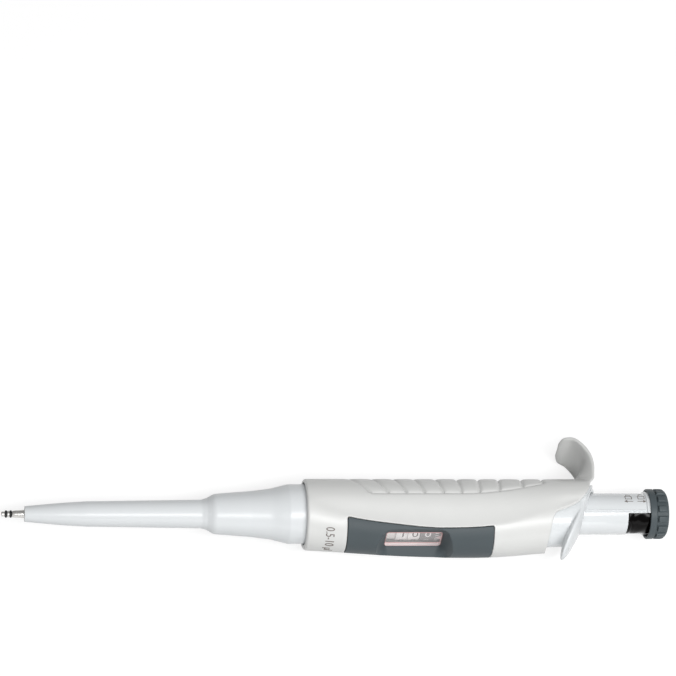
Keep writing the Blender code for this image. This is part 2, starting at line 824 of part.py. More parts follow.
def make_counter():
    """Carrier with its axle, the blank spacer and the three number drums."""
    carrier = turned(
        "counter_carrier", rod_outline(CARRIER_LOW, CARRIER_LOW + CARRIER_PLATE, DRUM_R), "frame"
    )
    high_end = CARRIER_HIGH + CARRIER_PLATE
    plate_high = turned("carrier_plate_high", rod_outline(CARRIER_HIGH, high_end, DRUM_R))
    axle = turned("carrier_axle", rod_outline(CARRIER_LOW + CARRIER_LUG_INSET, TENTHS_X - GAP, AXLE_R))
    rail_half = CARRIER_RAIL_HEIGHT / 2
    pieces = [plate_high, axle]
    for side in (-1, 1):
        ends = sorted((side * CARRIER_RAIL_IN, side * CARRIER_RAIL_OUT))
        pieces.append(
            box(
                f"carrier_rail_{side}",
                (CARRIER_LOW, ends[0], -rail_half),
                (high_end, ends[1], rail_half),
            )
        )
    for number, x in enumerate((CARRIER_LOW, CARRIER_HIGH)):
        reach = (CARRIER_RAIL_IN + CARRIER_RAIL_OUT) / 2
        pieces.append(
            box(
                f"carrier_lug_{number}",
                (x + CARRIER_LUG_INSET, -reach, CARRIER_LUG_INSET - rail_half),
                (x + CARRIER_PLATE - CARRIER_LUG_INSET, reach, rail_half - CARRIER_LUG_INSET),
            )
        )
    join(carrier, *pieces)
    bore = turned(
        "carrier_bore",
        [
            (high_end + PAST, 0.0),
            (high_end + PAST, CARRIER_BEARING_R),
            (TENTHS_X + PAST, CARRIER_BEARING_R),
            (TENTHS_X + PAST, AXLE_BORE_R),
            (CARRIER_LOW - PAST, AXLE_BORE_R),
            (CARRIER_LOW - PAST, 0.0),
        ],
    )
    cut(carrier, bore)
    spacer = tube_outline(
        SPACER_X + FINE_GAP, SPACER_X + SPACER_LEN - FINE_GAP, DRUM_R, AXLE_R + FINE_GAP
    )
    turned("counter_spacer", spacer, "drum_white")
    make_drum("drum_tens", TENS_X, AXLE_R + GAP, DRUM_LEN, "drum_white")
    make_drum("drum_units", UNITS_X, AXLE_R + GAP, DRUM_LEN, "drum_white")
    make_drum("drum_tenths", TENTHS_X, SPINDLE_HEX_R + GAP, TENTHS_LEN, "drum_dark")


def make_drum(name, start, bore, length, finish):
    """A counter drum, hollow from the nozzle side: a rim and a hub joined by a web."""
    low = start + FINE_GAP
    high = start + length - FINE_GAP
    web = high - DRUM_WEB
    rim_in = DRUM_R - DRUM_RIM
    hub = bore + DRUM_HUB_WALL
    outline = [
        (high, DRUM_R),
        (low, DRUM_R),
        (low, rim_in),
        (web, rim_in),
        (web, hub),
        (low, hub),
        (low, bore),
        (high, bore),
    ]
    return turned(name, outline, finish)


def make_spindle():
    """Volume spindle with a hexagon through the tenths drum, its nut and the nut's guide."""
    hex_low = TENTHS_X - GAP
    hex_high = TENTHS_END + FULL_STROKE
    outline = [
        (SPINDLE_HIGH, 0.0),
        (SPINDLE_HIGH, SPINDLE_R),
        (COLLAR_X + SPINDLE_COLLAR_LEN, SPINDLE_R),
        (COLLAR_X + SPINDLE_COLLAR_LEN, SPINDLE_COLLAR_R),
        (COLLAR_X, SPINDLE_COLLAR_R),
        (COLLAR_X, SPINDLE_R),
        (SPINDLE_LOW, SPINDLE_R),
        (SPINDLE_LOW, 0.0),
    ]
    spindle = turned("volume_spindle", outline, "steel", SMALL_RING)
    corners = [
        (SPINDLE_HEX_R * cos(pi / 3 * i), SPINDLE_HEX_R * sin(pi / 3 * i)) for i in range(6)
    ]
    rings = [[(x, y, z) for y, z in corners] for x in (hex_low, hex_high)]
    join(spindle, lofted("spindle_hexagon", rings))

    inner = GUIDE_R - GUIDE_WALL
    outline = [
        (GUIDE_TOP, GUIDE_R),
        (GUIDE_X + GUIDE_FOOT, GUIDE_R),
        (GUIDE_X + GUIDE_FOOT, DRUM_R),
        (GUIDE_X, DRUM_R),
        (GUIDE_X, inner),
        (GUIDE_TOP, inner),
    ]
    guide = turned("nut_guide", outline, "frame")
    nut_high = GUIDE_TOP - NUT_TOP_ROOM
    slot_low = GUIDE_X + GUIDE_FOOT + GUIDE_SLOT_FLOOR
    cut(
        guide,
        box(
            "guide_slots",
            (slot_low, -GUIDE_R - PAST, -GUIDE_SLOT / 2),
            (GUIDE_TOP + PAST, GUIDE_R + PAST, GUIDE_SLOT / 2),
        ),
    )
    nut = turned(
        "volume_nut",
        tube_outline(nut_high - NUT_LEN, nut_high, inner - GAP, SPINDLE_HEX_R + GAP),
        "seal",
        SMALL_RING,
    )
    lug_half = GUIDE_SLOT / 2 - GAP
    for side in (-1, 1):
        ends = sorted((side * (inner - GAP - NUT_LUG_ROOT), side * (inner - GAP + NUT_LUG)))
        join(
            nut,
            box(
                f"nut_lug_{side}",
                (nut_high - NUT_LEN + NUT_LUG_INSET, ends[0], -lug_half),
                (nut_high - NUT_LUG_INSET, ends[1], lug_half),
            ),
        )


def sector(name, start, end, inner, outer, half_angle, finish=None, steps=12):
    """Part of a thick tube on the display's side of the axis, half_angle each way."""
    rings = []
    for i in range(steps + 1):
        angle = half_angle * (2 * i / steps - 1)
        y, z = sin(angle), -cos(angle)
        rings.append(
            [
                (start, inner * y, inner * z),
                (start, outer * y, outer * z),
                (end, outer * y, outer * z),
                (end, inner * y, inner * z),
            ]
        )
    return lofted(name, rings, finish)


def make_button():
    """Operating tube with its flare, ridges and window, its core and the black lock bush."""
    inner = TUBE_R - TUBE_WALL
    flare = TUBE_END - TUBE_FLARE_LEN
    outline = [
        (TUBE_END, TUBE_FLARE_R),
        (TUBE_END - TUBE_FLARE_LIP, TUBE_FLARE_R),
        (flare, TUBE_R),
        (TUBE_X, TUBE_R),
        (TUBE_X, inner),
        (TUBE_END, inner),
    ]
    tube = turned("operating_tube", outline, "white")
    ridge_in = TUBE_R - TUBE_WALL / 2
    ridge_out = TUBE_R + TUBE_RIDGE_HEIGHT
    start = TUBE_X + TUBE_RIDGE_START
    width = TUBE_RIDGE_WIDTH / TUBE_R / 2
    turns = [side * (WINDOW_HALF_ANGLE + past) for side in (-1, 1) for past in TUBE_RIDGE_ANGLES]
    for number, turn in enumerate(turns):
        rings = []
        for angle in (turn - width, turn + width):
            y, z = sin(angle), -cos(angle)
            rings.append(
                [
                    (start, ridge_in * y, ridge_in * z),
                    (start, ridge_out * y, ridge_out * z),
                    (flare, ridge_out * y, ridge_out * z),
                    (flare, ridge_in * y, ridge_in * z),
                ]
            )
        join(tube, lofted(f"tube_ridge_{number}", rings))
    cut(
        tube,
        sector(
            "tube_window",
            WINDOW_X,
            TUBE_END + PAST,
            inner / 2,
            TUBE_FLARE_R + PAST,
            WINDOW_HALF_ANGLE,
        ),
    )
    turned(
        "button_core",
        tube_outline(CORE_X, CORE_X + CORE_LEN, inner - FINE_GAP, SPINDLE_R + GAP),
        "frame",
    )
    bush_x = WINDOW_X + GAP
    bush_end = TUBE_END - LOCK_TRAVEL - FINE_GAP
    bush_r = inner - GAP
    bush = turned(
        "lock_bush",
        tube_outline(bush_x - BUSH_TAIL, bush_end, bush_r, KNOB_STEM_R + GAP),
        "black",
    )
    pad = sector(
        "bush_pad",
        bush_x,
        bush_end - FINE_GAP,
        bush_r - BUSH_PAD_ROOT,
        TUBE_R - BUSH_PAD_DROP,
        WINDOW_HALF_ANGLE - BUSH_PAD_PLAY,
    )
    join(bush, pad)


def knob_ring(x, radius, groove):
    """A ring of the knob: round, or with a groove between each two pads."""
    half = KNOB_PAD_SHARE / 2
    low = half + KNOB_GROOVE_RAMP
    corners = ((-half, 0.0), (half, 0.0), (low, groove), (1 - low, groove))
    ring = []
    for pad in range(KNOB_PADS):
        for share, depth in corners:
            turn = 2 * pi * (pad + share) / KNOB_PADS
            ring.append((x, (radius - depth) * cos(turn), (radius - depth) * sin(turn)))
    return ring


def make_knob():
    """Volume knob: a plain rim, raised grip pads and a stem that goes down into the bush."""
    lip_end = KNOB_RIM + KNOB_LIP_LEN
    rings = [
        knob_ring(KNOB_RIM, KNOB_R - KNOB_CHAMFER, 0.0),
        knob_ring(KNOB_RIM + KNOB_CHAMFER, KNOB_R, 0.0),
        knob_ring(lip_end, KNOB_R, 0.0),
        knob_ring(lip_end + KNOB_CHAMFER, KNOB_R, KNOB_GROOVE),
        knob_ring(KNOB_END - KNOB_ROUND, KNOB_R, KNOB_GROOVE),
        knob_ring(KNOB_END - 0.3 * KNOB_ROUND, KNOB_R - 0.3 * KNOB_ROUND, KNOB_GROOVE),
        knob_ring(KNOB_END, KNOB_R - 1.2 * KNOB_ROUND, 0.0),
    ]
    knob = lofted("volume_knob", rings, "slate", smooth=50)
    hollow_r = KNOB_R - KNOB_WALL
    hollow = turned(
        "knob_hollow",
        [
            (KNOB_FLOOR, 0.0),
            (KNOB_FLOOR, hollow_r),
            (KNOB_RIM - PAST, hollow_r),
            (KNOB_RIM - PAST, 0.0),
        ],
    )
    cut(knob, hollow)
    stem_low = SPINDLE_HIGH - KNOB_STEM_OVERLAP
    stem = turned(
        "knob_stem",
        tube_outline(stem_low, KNOB_FLOOR + PAST, KNOB_STEM_R, SPINDLE_R + GAP),
        steps=SMALL_RING,
    )
    join(knob, stem)


def make_panel():
    """Display panel: a flush plate with a sloping recess, and the clear lens in its floor."""
    floor = LENS_FACE - RECESS_WALL
    block = prism(
        "display_panel", panel_outline(PANEL_CLEARANCE), "z", -PANEL_BEYOND, -floor, "slate"
    )
    skin_out = housing_skin("panel_outside", 0.0)
    combine(block, skin_out, "INTERSECT")
    hollow = housing_skin("panel_inside", HOUSING_WALL)
    cut(hollow, frustum("recess_outer", RECESS_WALL, floor - PAST / 2))
    cut(block, hollow, frustum("recess_inner", 0.0, LENS_FACE))
    hole = rounded_rectangle(
        LENS_X - FINE_GAP,
        LENS_X + LENS_LEN + FINE_GAP,
        LENS_HALF_WIDTH + FINE_GAP,
        LENS_CORNER,
    )
    cut(block, prism("lens_hole", hole, "z", -LENS_FACE - PAST, -floor + PAST))
    outline = rounded_rectangle(LENS_X, LENS_X + LENS_LEN, LENS_HALF_WIDTH, LENS_CORNER)
    prism("display_lens", outline, "z", -LENS_FACE, -LENS_FACE + LENS_THICK, "lens")


def frustum(name, wall, depth):
    """The display recess, widening outwards from its floor at a depth, with a wall round it."""
    rings = []
    for rise in (0.0, RECESS_HEIGHT):
        outline = rounded_rectangle(
            LENS_X - FINE_GAP - wall - RECESS_TIP_SLOPE * rise,
            LENS_X + LENS_LEN + FINE_GAP + wall + RECESS_KNOB_SLOPE * rise,
            LENS_HALF_WIDTH + FINE_GAP + wall + RECESS_SIDE_SLOPE * rise,
            LENS_CORNER + wall + RECESS_CORNER_GROWTH * rise,
        )
        rings.append([(x, y, -depth - rise) for x, y in outline])
    return lofted(name, rings)


def panel_outline(inset):
    """The panel's outline seen from the front: square ends, sides that follow the crease."""
    start = PANEL_X + inset
    end = PANEL_X + PANEL_LEN - inset
    stations = [start + (end - start) * i / 8 for i in range(9)]
    side = [(x, crease_at(x)[0] - PANEL_MARGIN - inset) for x in stations]
    corner_steps = 3
    right = []
    for (x, half), (centre, first) in (
        (side[0], (start + PANEL_CORNER, pi)),
        (side[-1], (end - PANEL_CORNER, pi / 2)),
    ):
        for i in range(corner_steps + 1):
            angle = first - pi / 2 * i / corner_steps
            right.append(
                (centre + PANEL_CORNER * cos(angle), half - PANEL_CORNER * (1 - sin(angle)))
            )
        if x == start:
            right += side[1:-1]
    left = [(x, -y) for x, y in reversed(right)]
    return right + left


def housing_skin(name, inset):
    """The whole housing as a solid, moved in by inset."""
    stations = housing_stations(LIP, HOUSING_END)
    return lofted(name, [housing_ring(x, inset) for x in stations])


def make_housing():
    """Main housing: shell, bulkhead, panel opening, sloping top rim, grip ribs and finger hook."""
    stations = housing_stations(LIP + LIP_ROUND, HOUSING_END)
    rings = [
        housing_ring(LIP, LIP_ROUND),
        housing_ring(LIP + 0.3 * LIP_ROUND, 0.3 * LIP_ROUND),
    ]
    rings += [housing_ring(x) for x in stations]
    shell = lofted("housing", rings, "shell")
    shell_in = [
        housing_ring(x, HOUSING_WALL, 4, 4, 5)
        for x in housing_stations(BULKHEAD + BULKHEAD_LEN, HOUSING_END + PAST, HOLLOW_PITCH)
    ]
    lip_in = turned(
        "lip_bore",
        [
            (BULKHEAD, 0.0),
            (BULKHEAD, LIP_BORE_R),
            (LIP - PAST, LIP_BORE_R),
            (LIP - PAST, 0.0),
        ],
    )
    bulkhead_hole = turned(
        "bulkhead_hole",
        [
            (BULKHEAD + BULKHEAD_LEN + PAST, 0.0),
            (BULKHEAD + BULKHEAD_LEN + PAST, NECK_R + GAP),
            (BULKHEAD - PAST, NECK_R + GAP),
            (BULKHEAD - PAST, 0.0),
        ],
    )
    tools = [
        lofted("shell_hollow", shell_in),
        lip_in,
        bulkhead_hole,
        rod_slot("bulkhead_slot", BULKHEAD - PAST, BULKHEAD + BULKHEAD_LEN + PAST),
        prism("panel_opening", panel_outline(0.0), "z", -PANEL_BEYOND, -PANEL_BEHIND),
        rim_cutter(),
    ]
    tools += [rib_groove(number) for number in range(RIB_GROOVES)]
    cut(shell, *tools, solver="MANIFOLD")
    join(shell, finger_hook(), solver="MANIFOLD")


def rim_cutter():
    """Everything beyond the housing's top rim: square at the front, rising to the hook."""
    far = HOUSING_END + BACK_R
    wide = 2 * BACK_R
    outline = [(FRONT_RIM, -wide), (FRONT_RIM, BACK_R * RIM_CORNER)]
    outline += [(FRONT_RIM + rise, BACK_R * height) for height, rise in RIM_CURVE]
    outline += [(FRONT_RIM + RIM_CURVE[-1][1], wide), (far, wide), (far, -wide)]
    return prism("rim_cutter", outline, "y", -wide, wide)


def rib_groove(number):
    """A groove across the back that slants near the nozzle and runs straight near the knob."""
    share = number / (RIB_GROOVES - 1)
    x = LIP + RIB_FIRST + RIB_PITCH * number
    half_angle = RIB_HALF_ANGLE + (RIB_END_HALF_ANGLE - RIB_HALF_ANGLE) * share ** 3
    slant = RIB_SLANT * (1 - share) ** 1.5
    steps = 8
    rings = []
    for i in range(steps + 1):
        turn = 2 * i / steps - 1
        angle = half_angle * turn
        y, z = sin(angle), cos(angle)
        middle = x + slant * turn * turn
        deep = BACK_R - RIB_GROOVE_DEPTH * (RIB_RUNOUT if i in (0, steps) else 1.0)
        high = BACK_R + RIB_GROOVE_DEPTH
        narrow, wide = RIB_GROOVE_WIDTH * 0.25, RIB_GROOVE_WIDTH * 0.75
        rings.append(
            [
                (middle - wide, high * y, high * z),
                (middle - narrow, deep * y, deep * z),
                (middle + narrow, deep * y, deep * z),
                (middle + wide, high * y, high * z),
            ]
        )
    return lofted(f"rib_groove_{number}", rings)


def finger_hook():
    """The hook: a lip of the housing's back that turns outwards and curls over the finger."""
    path = [
        (rise, BACK_R * height, BACK_R * half, thick, drop)
        for rise, height, half, thick, drop in HOOK_PATH
    ]
    rows = curve_through(path, 2)
    across = 6
    rings = []
    for i, (rise, height, half, thick, drop) in enumerate(rows):
        before = rows[max(i - 1, 0)]
        after = rows[min(i + 1, len(rows) - 1)]
        along = Vector((after[0] - before[0], after[1] - before[1])).normalized()
        out = Vector((-along.y, along.x))
        centre = Vector((FRONT_RIM + rise, height))
        ring = []
        for side, level in ((1, 0.5), (-1, -0.5)):
            for k in range(across + 1):
                share = side * (1 - 2 * k / across)
                edge = 1.0 if abs(share) < 0.99 else 0.35
                lift = thick * level * edge - drop * share * share
                spot = centre + out * lift
                ring.append((spot.x, half * share, spot.y))
        rings.append(ring)
    return lofted("finger_hook", rings)


def make_upper_guide():
    """Plate across the housing that guides the operating tube and carries the ejector spring."""
    ends = (UPPER_GUIDE_X, UPPER_GUIDE_X + UPPER_GUIDE_LEN)
    rings = [housing_ring(x, HOUSING_WALL + GAP) for x in ends]
    plate = lofted("upper_guide", rings, "frame")
    hole = turned(
        "upper_guide_hole",
        [
            (ends[1] + PAST, 0.0),
            (ends[1] + PAST, TUBE_R + TUBE_RIDGE_HEIGHT + GAP),
            (ends[0] - PAST, TUBE_R + TUBE_RIDGE_HEIGHT + GAP),
            (ends[0] - PAST, 0.0),
        ],
    )
    cut(plate, hole, rod_slot("upper_guide_slot", ends[0] - PAST, ends[1] + PAST))


def make_ejector():
    """Thumb plate with its collar, the push rod, the coupler and the ejector spring."""
    plate = lofted("ejector_plate", plate_rings(), "white")
    outer = [
        housing_ring(x, HOUSING_WALL + COLLAR_CLEARANCE)
        for x in (COLLAR_BOTTOM, FRONT_RIM, HOUSING_END)
    ]
    collar = lofted("ejector_collar", outer)
    inner = [
        housing_ring(x, HOUSING_WALL + COLLAR_CLEARANCE + COLLAR_WALL)
        for x in (COLLAR_BOTTOM + COLLAR_WALL, FRONT_RIM, HOUSING_END + PAST)
    ]
    cut(collar, lofted("collar_hollow", inner), above_plate(), solver="MANIFOLD")
    join(plate, collar, solver="MANIFOLD")
    hole_r = TUBE_R + TUBE_RIDGE_HEIGHT + GAP
    top = PLATE_X + PLATE_HALF_LEN
    hole = turned(
        "plate_hole",
        [
            (top, 0.0),
            (top, hole_r),
            (COLLAR_BOTTOM - PAST, hole_r),
            (COLLAR_BOTTOM - PAST, 0.0),
        ],
    )
    cut(plate, hole, solver="MANIFOLD")
    box(
        "ejector_rod",
        (SLEEVE_TOP + COUPLER_LEN + 2 * GAP, -ROD_HALF_WIDTH, rod_low()),
        (COLLAR_BOTTOM - FINE_GAP, ROD_HALF_WIDTH, rod_low() + ROD_THICK),
        "frame",
    )
    turned(
        "ejector_coupler",
        tube_outline(
            SLEEVE_TOP + GAP,
            SLEEVE_TOP + GAP + COUPLER_LEN,
            SLEEVE_PROFILE[-1][1],
            COUPLER_BORE_R,
        ),
        "frame",
    )
    make_coil(
        "ejector_spring",
        UPPER_GUIDE_X + UPPER_GUIDE_LEN,
        COLLAR_BOTTOM,
        EJECTOR_SPRING_R,
        EJECTOR_WIRE_R,
        EJECTOR_SPRING_TURNS,
    )


def plate_point(u, v, w):
    """A point of the thumb plate: u across, v along it towards the hook, w through it."""
    return (
        PLATE_X + v * sin(PLATE_TILT) + w * cos(PLATE_TILT),
        u,
        PLATE_OFFSET + v * cos(PLATE_TILT) - w * sin(PLATE_TILT),
    )


def plate_rings():
    """Elliptic rings of the lens-shaped thumb plate, from its underside to its top."""
    levels = (
        (0.55, -0.5), (0.86, -0.32), (0.97, -0.16), (1.0, 0.0), (0.97, 0.16), (0.86, 0.32), (0.55, 0.5)
    )
    rings = []
    for share, level in levels:
        ring = []
        for i in range(RING):
            angle = 2 * pi * i / RING
            ring.append(
                plate_point(
                    share * PLATE_HALF_WIDTH * cos(angle),
                    share * PLATE_HALF_LEN * sin(angle),
                    level * PLATE_THICK,
                )
            )
        rings.append(ring)
    return rings


def above_plate():
    """A block on the knob's side of the thumb plate's middle."""
    size = 2 * PLATE_HALF_LEN
    corners = ((-size, -size), (size, -size), (size, size), (-size, size))
    rings = [[plate_point(u, v, w) for u, v in corners] for w in (0.0, size)]
    return lofted("above_plate", rings)


def lay_on_bench():
    """Roll the pipette on its side, with its box centred on the origin and its foot at zero."""
    REST.rotation_euler = (-pi / 2 - BENCH_ROLL, 0.0, 0.0)
    bpy.context.view_layer.update()
    graph = bpy.context.evaluated_depsgraph_get()
    corners = []
    for item in PARTS.objects:
        if item.type == "EMPTY":
            continue
        shown = item.evaluated_get(graph)
        mesh = shown.to_mesh()
        corners += [shown.matrix_world @ vertex.co for vertex in mesh.vertices]
        shown.to_mesh_clear()
    low = Vector([min(point[k] for point in corners) for k in range(3)])
    high = Vector([max(point[k] for point in corners) for k in range(3)])
    REST.location = (-(low.x + high.x) / 2, -(low.y + high.y) / 2, -low.z)


def main():
    """Make every piece and lay the pipette down."""
    make_nozzle()
    make_sleeve()
    make_barrel()
    make_seals()
    make_plunger()
    make_counter()
    make_spindle()
    make_button()
    make_knob()
    make_panel()
    make_housing()
    make_upper_guide()
    make_ejector()
    lay_on_bench()


main()
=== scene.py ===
"""A dressed micropipette: fine surfaces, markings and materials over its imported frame.

The pipette is modelled along +X from the nozzle's end, with the finger hook at +Z and the display
at -Z, in metres. PLACE then rolls every piece to where the frame lies on its bench.
"""

from math import atan2, cos, pi, radians, sin, sqrt

import bmesh
import bpy
import numpy as np
from mathutils import Matrix, Vector
from mathutils.bvhtree import BVHTree


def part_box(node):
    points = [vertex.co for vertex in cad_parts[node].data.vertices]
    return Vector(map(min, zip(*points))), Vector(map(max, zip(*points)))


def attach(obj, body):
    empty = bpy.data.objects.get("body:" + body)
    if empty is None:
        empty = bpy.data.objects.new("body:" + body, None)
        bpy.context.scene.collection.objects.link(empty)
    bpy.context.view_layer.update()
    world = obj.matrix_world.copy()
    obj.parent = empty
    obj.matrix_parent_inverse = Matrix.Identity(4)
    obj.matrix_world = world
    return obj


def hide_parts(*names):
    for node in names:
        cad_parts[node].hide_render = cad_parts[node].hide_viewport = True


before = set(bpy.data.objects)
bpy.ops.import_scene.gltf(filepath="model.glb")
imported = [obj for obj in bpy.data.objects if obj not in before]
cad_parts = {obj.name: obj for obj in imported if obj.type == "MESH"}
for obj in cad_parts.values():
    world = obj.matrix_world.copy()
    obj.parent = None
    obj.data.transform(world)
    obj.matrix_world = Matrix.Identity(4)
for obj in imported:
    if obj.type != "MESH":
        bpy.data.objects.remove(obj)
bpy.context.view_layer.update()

bl_info = {
    "name": "Micropipette",
    "version": (1, 0, 0),
    "blender": (4, 5, 0),
    "location": "3D View > Sidebar > Micropipette",
    "description": "Dresses a micropipette's frame with fine surfaces, markings and materials",
    "category": "Object",
}

# Clearances, and how far a cutter runs past what it cuts
GAP = 0.0003
FINE_GAP = 0.0001
PAST = 0.001

# Places along the axis
NOZZLE_BARE = 0.0083
LIP = 0.1100
HOLES_X = 0.1180
RANGE_X = 0.1182
BULKHEAD_X = 0.1194
BULKHEAD_END = 0.1214
HOLES_END = 0.1230
PANEL_X = 0.1246
LENS_X = 0.1395
LENS_END = 0.1603
PANEL_END = 0.1786
TUBE_X = 0.1883
FRONT_RIM = 0.1993
PLATE_X = 0.2117
HOUSING_END = 0.2200
STEM_X = 0.2204
WINDOW_X = 0.2304
CLOSED_SIGN_X = 0.2309
OPEN_SIGN_X = 0.2357
KNOB_RIM = 0.2386
TUBE_END = 0.2417
KNOB_FLOOR = 0.2423
KNOB_END = 0.2457

# Housing: its round back, the flat that it lies on, its wall, how far the softening of its creases
# spreads, and how many points a section is softened on
BACK_R = 0.0129
BACK_FLAT = radians(14)
HOUSING_WALL = 0.0016
CREASE_SPREAD = 0.00048
DENSE = 480

# Housing sections: distance from the lip, crease half-width, crease height, front depth
HOUSING_SECTIONS = (
    (0.000, 0.01280, -0.00360, 0.01330),
    (0.015, 0.01029, -0.00810, 0.01490),
    (0.036, 0.00930, -0.01120, 0.01671),
    (0.051, 0.00900, -0.01229, 0.01730),
    (0.071, 0.00980, -0.01140, 0.01700),
    (0.088, 0.01149, -0.00700, 0.01530),
    (0.097, 0.01210, -0.00301, 0.01490),
    (0.110, 0.01260, -0.00120, 0.01460),
)

# Top rim: height, and how far the rim lies beyond its front there
RIM_CURVE = (
    (-0.03000, -0.0020),
    (-0.01650, -0.0004),
    (-0.01360, 0.0003),
    (-0.01040, 0.0011),
    (-0.00800, 0.0019),
    (-0.00690, 0.0026),
    (-0.00620, 0.0036),
    (-0.00560, 0.0050),
    (-0.00480, 0.0072),
    (-0.00340, 0.0102),
    (-0.00060, 0.0136),
    (0.00400, 0.0163),
    (0.00900, 0.0173),
    (0.02600, 0.0173),
)

# Finger hook: distance beyond the front rim, height, half-width, thickness, and how far its sides
# lie under its middle
HOOK_PATH = (
    (0.0060, 0.0118, 0.0105, 0.0012, 0.0058),
    (0.0100, 0.0120, 0.0110, 0.0014, 0.0064),
    (0.0132, 0.0124, 0.0114, 0.0020, 0.0072),
    (0.0149, 0.0137, 0.0114, 0.0025, 0.0055),
    (0.0174, 0.0168, 0.0108, 0.0028, 0.0024),
    (0.0190, 0.0209, 0.0102, 0.0028, -0.0003),
    (0.0181, 0.0254, 0.0097, 0.0026, -0.0013),
    (0.0146, 0.0287, 0.0091, 0.0022, -0.0006),
    (0.0108, 0.0292, 0.0074, 0.0018, 0.0002),
    (0.0094, 0.0293, 0.0038, 0.0013, 0.0004),
)

# How far the printed range and the digits stand off the middle of the front
RANGE_SHIFT = 0.0025
DIGIT_TURN = radians(3)

# Panel, recess and lens; the recess is steeper on the side away from the camera
PANEL_EDGE = 0.00015
PANEL_DEPTH = 0.0070
SKIN_X = 0.1200
SKIN_END = 0.1850
RECESS_HEIGHT = 0.0080
RECESS_WALL = 0.0011
NEAR_SLOPE = 2.6
FAR_SLOPE = 1.0
START_SLOPE = 0.95
END_SLOPE = 0.62
LENS_FACE = 0.01135
LENS_THICK = 0.00145
LENS_HALF_WIDTH = 0.0042
LENS_CORNER = 0.0010

# Drums, nozzle, tube, knob and plate
DRUM_R = 0.0096
DRUM_WALL = 0.0011
DRUM_EDGES = (0.1435, 0.1480, 0.1525, 0.1603)
RING_PLACES = (0.0017, 0.0034)
TUBE_R = 0.0077
TUBE_WALL = 0.0011
WINDOW_HALF_ANGLE = radians(57.5)
SIGN_TURN = radians(99.5)
KNOB_R = 0.0093
PLATE_TILT = radians(27)
PLATE_OFFSET = -0.0048
PLATE_VOXEL = 0.00026
PANEL_VOXEL = 0.00020

# Camera: the photograph's size in pixels, the row that the axis lies on, the lens in pixels, how
# far away it stands, its turns, and what it looks at along the axis
PHOTO_SIZE = 676
AXIS_ROW = 514
FOCAL_PIXELS = 3000.0
CAMERA_AWAY = 1.103
CAMERA_YAW = radians(8.2)
CAMERA_ROLL = radians(35.5)
CAMERA_X = 0.12290947

# How bright the floor looks to the camera
FLOOR_GLOW = 0.74


def frame_place():
    """How the pipette lies in the frame: where its nozzle's end is, and its roll."""
    low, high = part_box("barrel_nut")
    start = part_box("ejector_sleeve")[0].x - NOZZLE_BARE
    middle = (low + high) / 2
    roll = Matrix.Rotation(-pi / 2 - BACK_FLAT / 2, 4, "X")
    return Matrix.Translation((start, middle.y, middle.z)) @ roll


PLACE = frame_place()


def colour_choice(name, description, default):
    """A colour that a user may change."""
    return bpy.props.FloatVectorProperty(
        name=name,
        description=description,
        default=default,
        size=3,
        min=0.0,
        max=1.0,
        subtype="COLOR",
    )


def length_choice(name, description, default, low, high):
    """A length that a user may change."""
    return bpy.props.FloatProperty(
        name=name, description=description, default=default, min=low, max=high, unit="LENGTH"
    )


def power_choice(name, description, default):
    """A lamp's power that a user may change."""
    return bpy.props.FloatProperty(
        name=name, description=description, default=default, min=0.0, unit="POWER"
    )


class ShellLook(bpy.types.PropertyGroup):
    """Sizes and colours of the housing."""

    colour: colour_choice(
        "Housing colour", "Moulded plastic of the housing and its finger hook", (0.690, 0.695, 0.683)
    )
    lettering: colour_choice(
        "Lettering colour", "Printed range and signs", (0.175, 0.150, 0.138)
    )
    groove_depth: length_choice(
        "Groove depth", "Depth of the grooves between the grip pads", 0.0008, 0.0, 0.0012
    )
    groove_width: length_choice(
        "Groove width", "Width of the grooves between the grip pads", 0.00052, 0.0002, 0.001
    )
    grain: length_choice(
        "Voxel size", "How finely the joined shell is rebuilt", 0.00023, 0.0002, 0.001
    )


class PanelLook(bpy.types.PropertyGroup):
    """Sizes and colours of the display panel, its lens and the drums."""

    colour: colour_choice(
        "Panel colour", "Plastic of the panel and the volume knob", (0.070, 0.087, 0.095)
    )
    tint: colour_choice("Lens tint", "Tint of the lens's edges", (0.88, 0.48, 0.48))
    digit_height: length_choice(
        "Digit height", "Height of the numbers on the drums", 0.0036, 0.001, 0.006
    )


class WhiteLook(bpy.types.PropertyGroup):
    """Sizes and colours of the white glossy pieces."""

    colour: colour_choice(
        "White plastic colour", "Sleeve, thumb plate and operating tube", (0.728, 0.752, 0.766)
    )
    ridge_height: length_choice(
        "Ridge height",
        "How far the ridge lines stand out of the operating tube",
        0.00030,
        0.0,
        0.0004,
    )


class KnobLook(bpy.types.PropertyGroup):
    """Sizes of the volume knob."""

    pads: bpy.props.IntProperty(
        name="Grip pads",
        description="Number of raised pads round the knob",
        default=14,
        min=6,
        max=24,
    )
    pad_rise: length_choice(
        "Pad rise", "How far the pads stand out of the knob's ground", 0.0008, 0.0001, 0.0012
    )


class NozzleLook(bpy.types.PropertyGroup):
    """Sizes of the nozzle's O-rings."""

    wire: length_choice("O-ring wire", "Radius of the O-rings' wire", 0.00045, 0.0001, 0.0005)


class StageLook(bpy.types.PropertyGroup):
    """Lamps of the stage."""

    key_power: power_choice("Key lamp power", "Power of the large lamp in front", 7.0)
    low_power: power_choice("Low lamp power", "Power of the lamp low in front", 1.1)
    fill_power: power_choice("Fill lamp power", "Power of the lamp above", 0.2)
    sky: bpy.props.FloatProperty(
        name="Sky strength",
        description="Strength of the even light all round",
        default=0.35,
        min=0.0,
    )


# Meshes


def mesh_of(name, points, faces):
    """A mesh with its faces pointing outwards."""
    mesh = bpy.data.meshes.new(name)
    mesh.from_pydata([tuple(point) for point in points], [], faces)
    shape = bmesh.new()
    shape.from_mesh(mesh)
    bmesh.ops.recalc_face_normals(shape, faces=shape.faces)
    shape.to_mesh(mesh)
    shape.free()
    return mesh


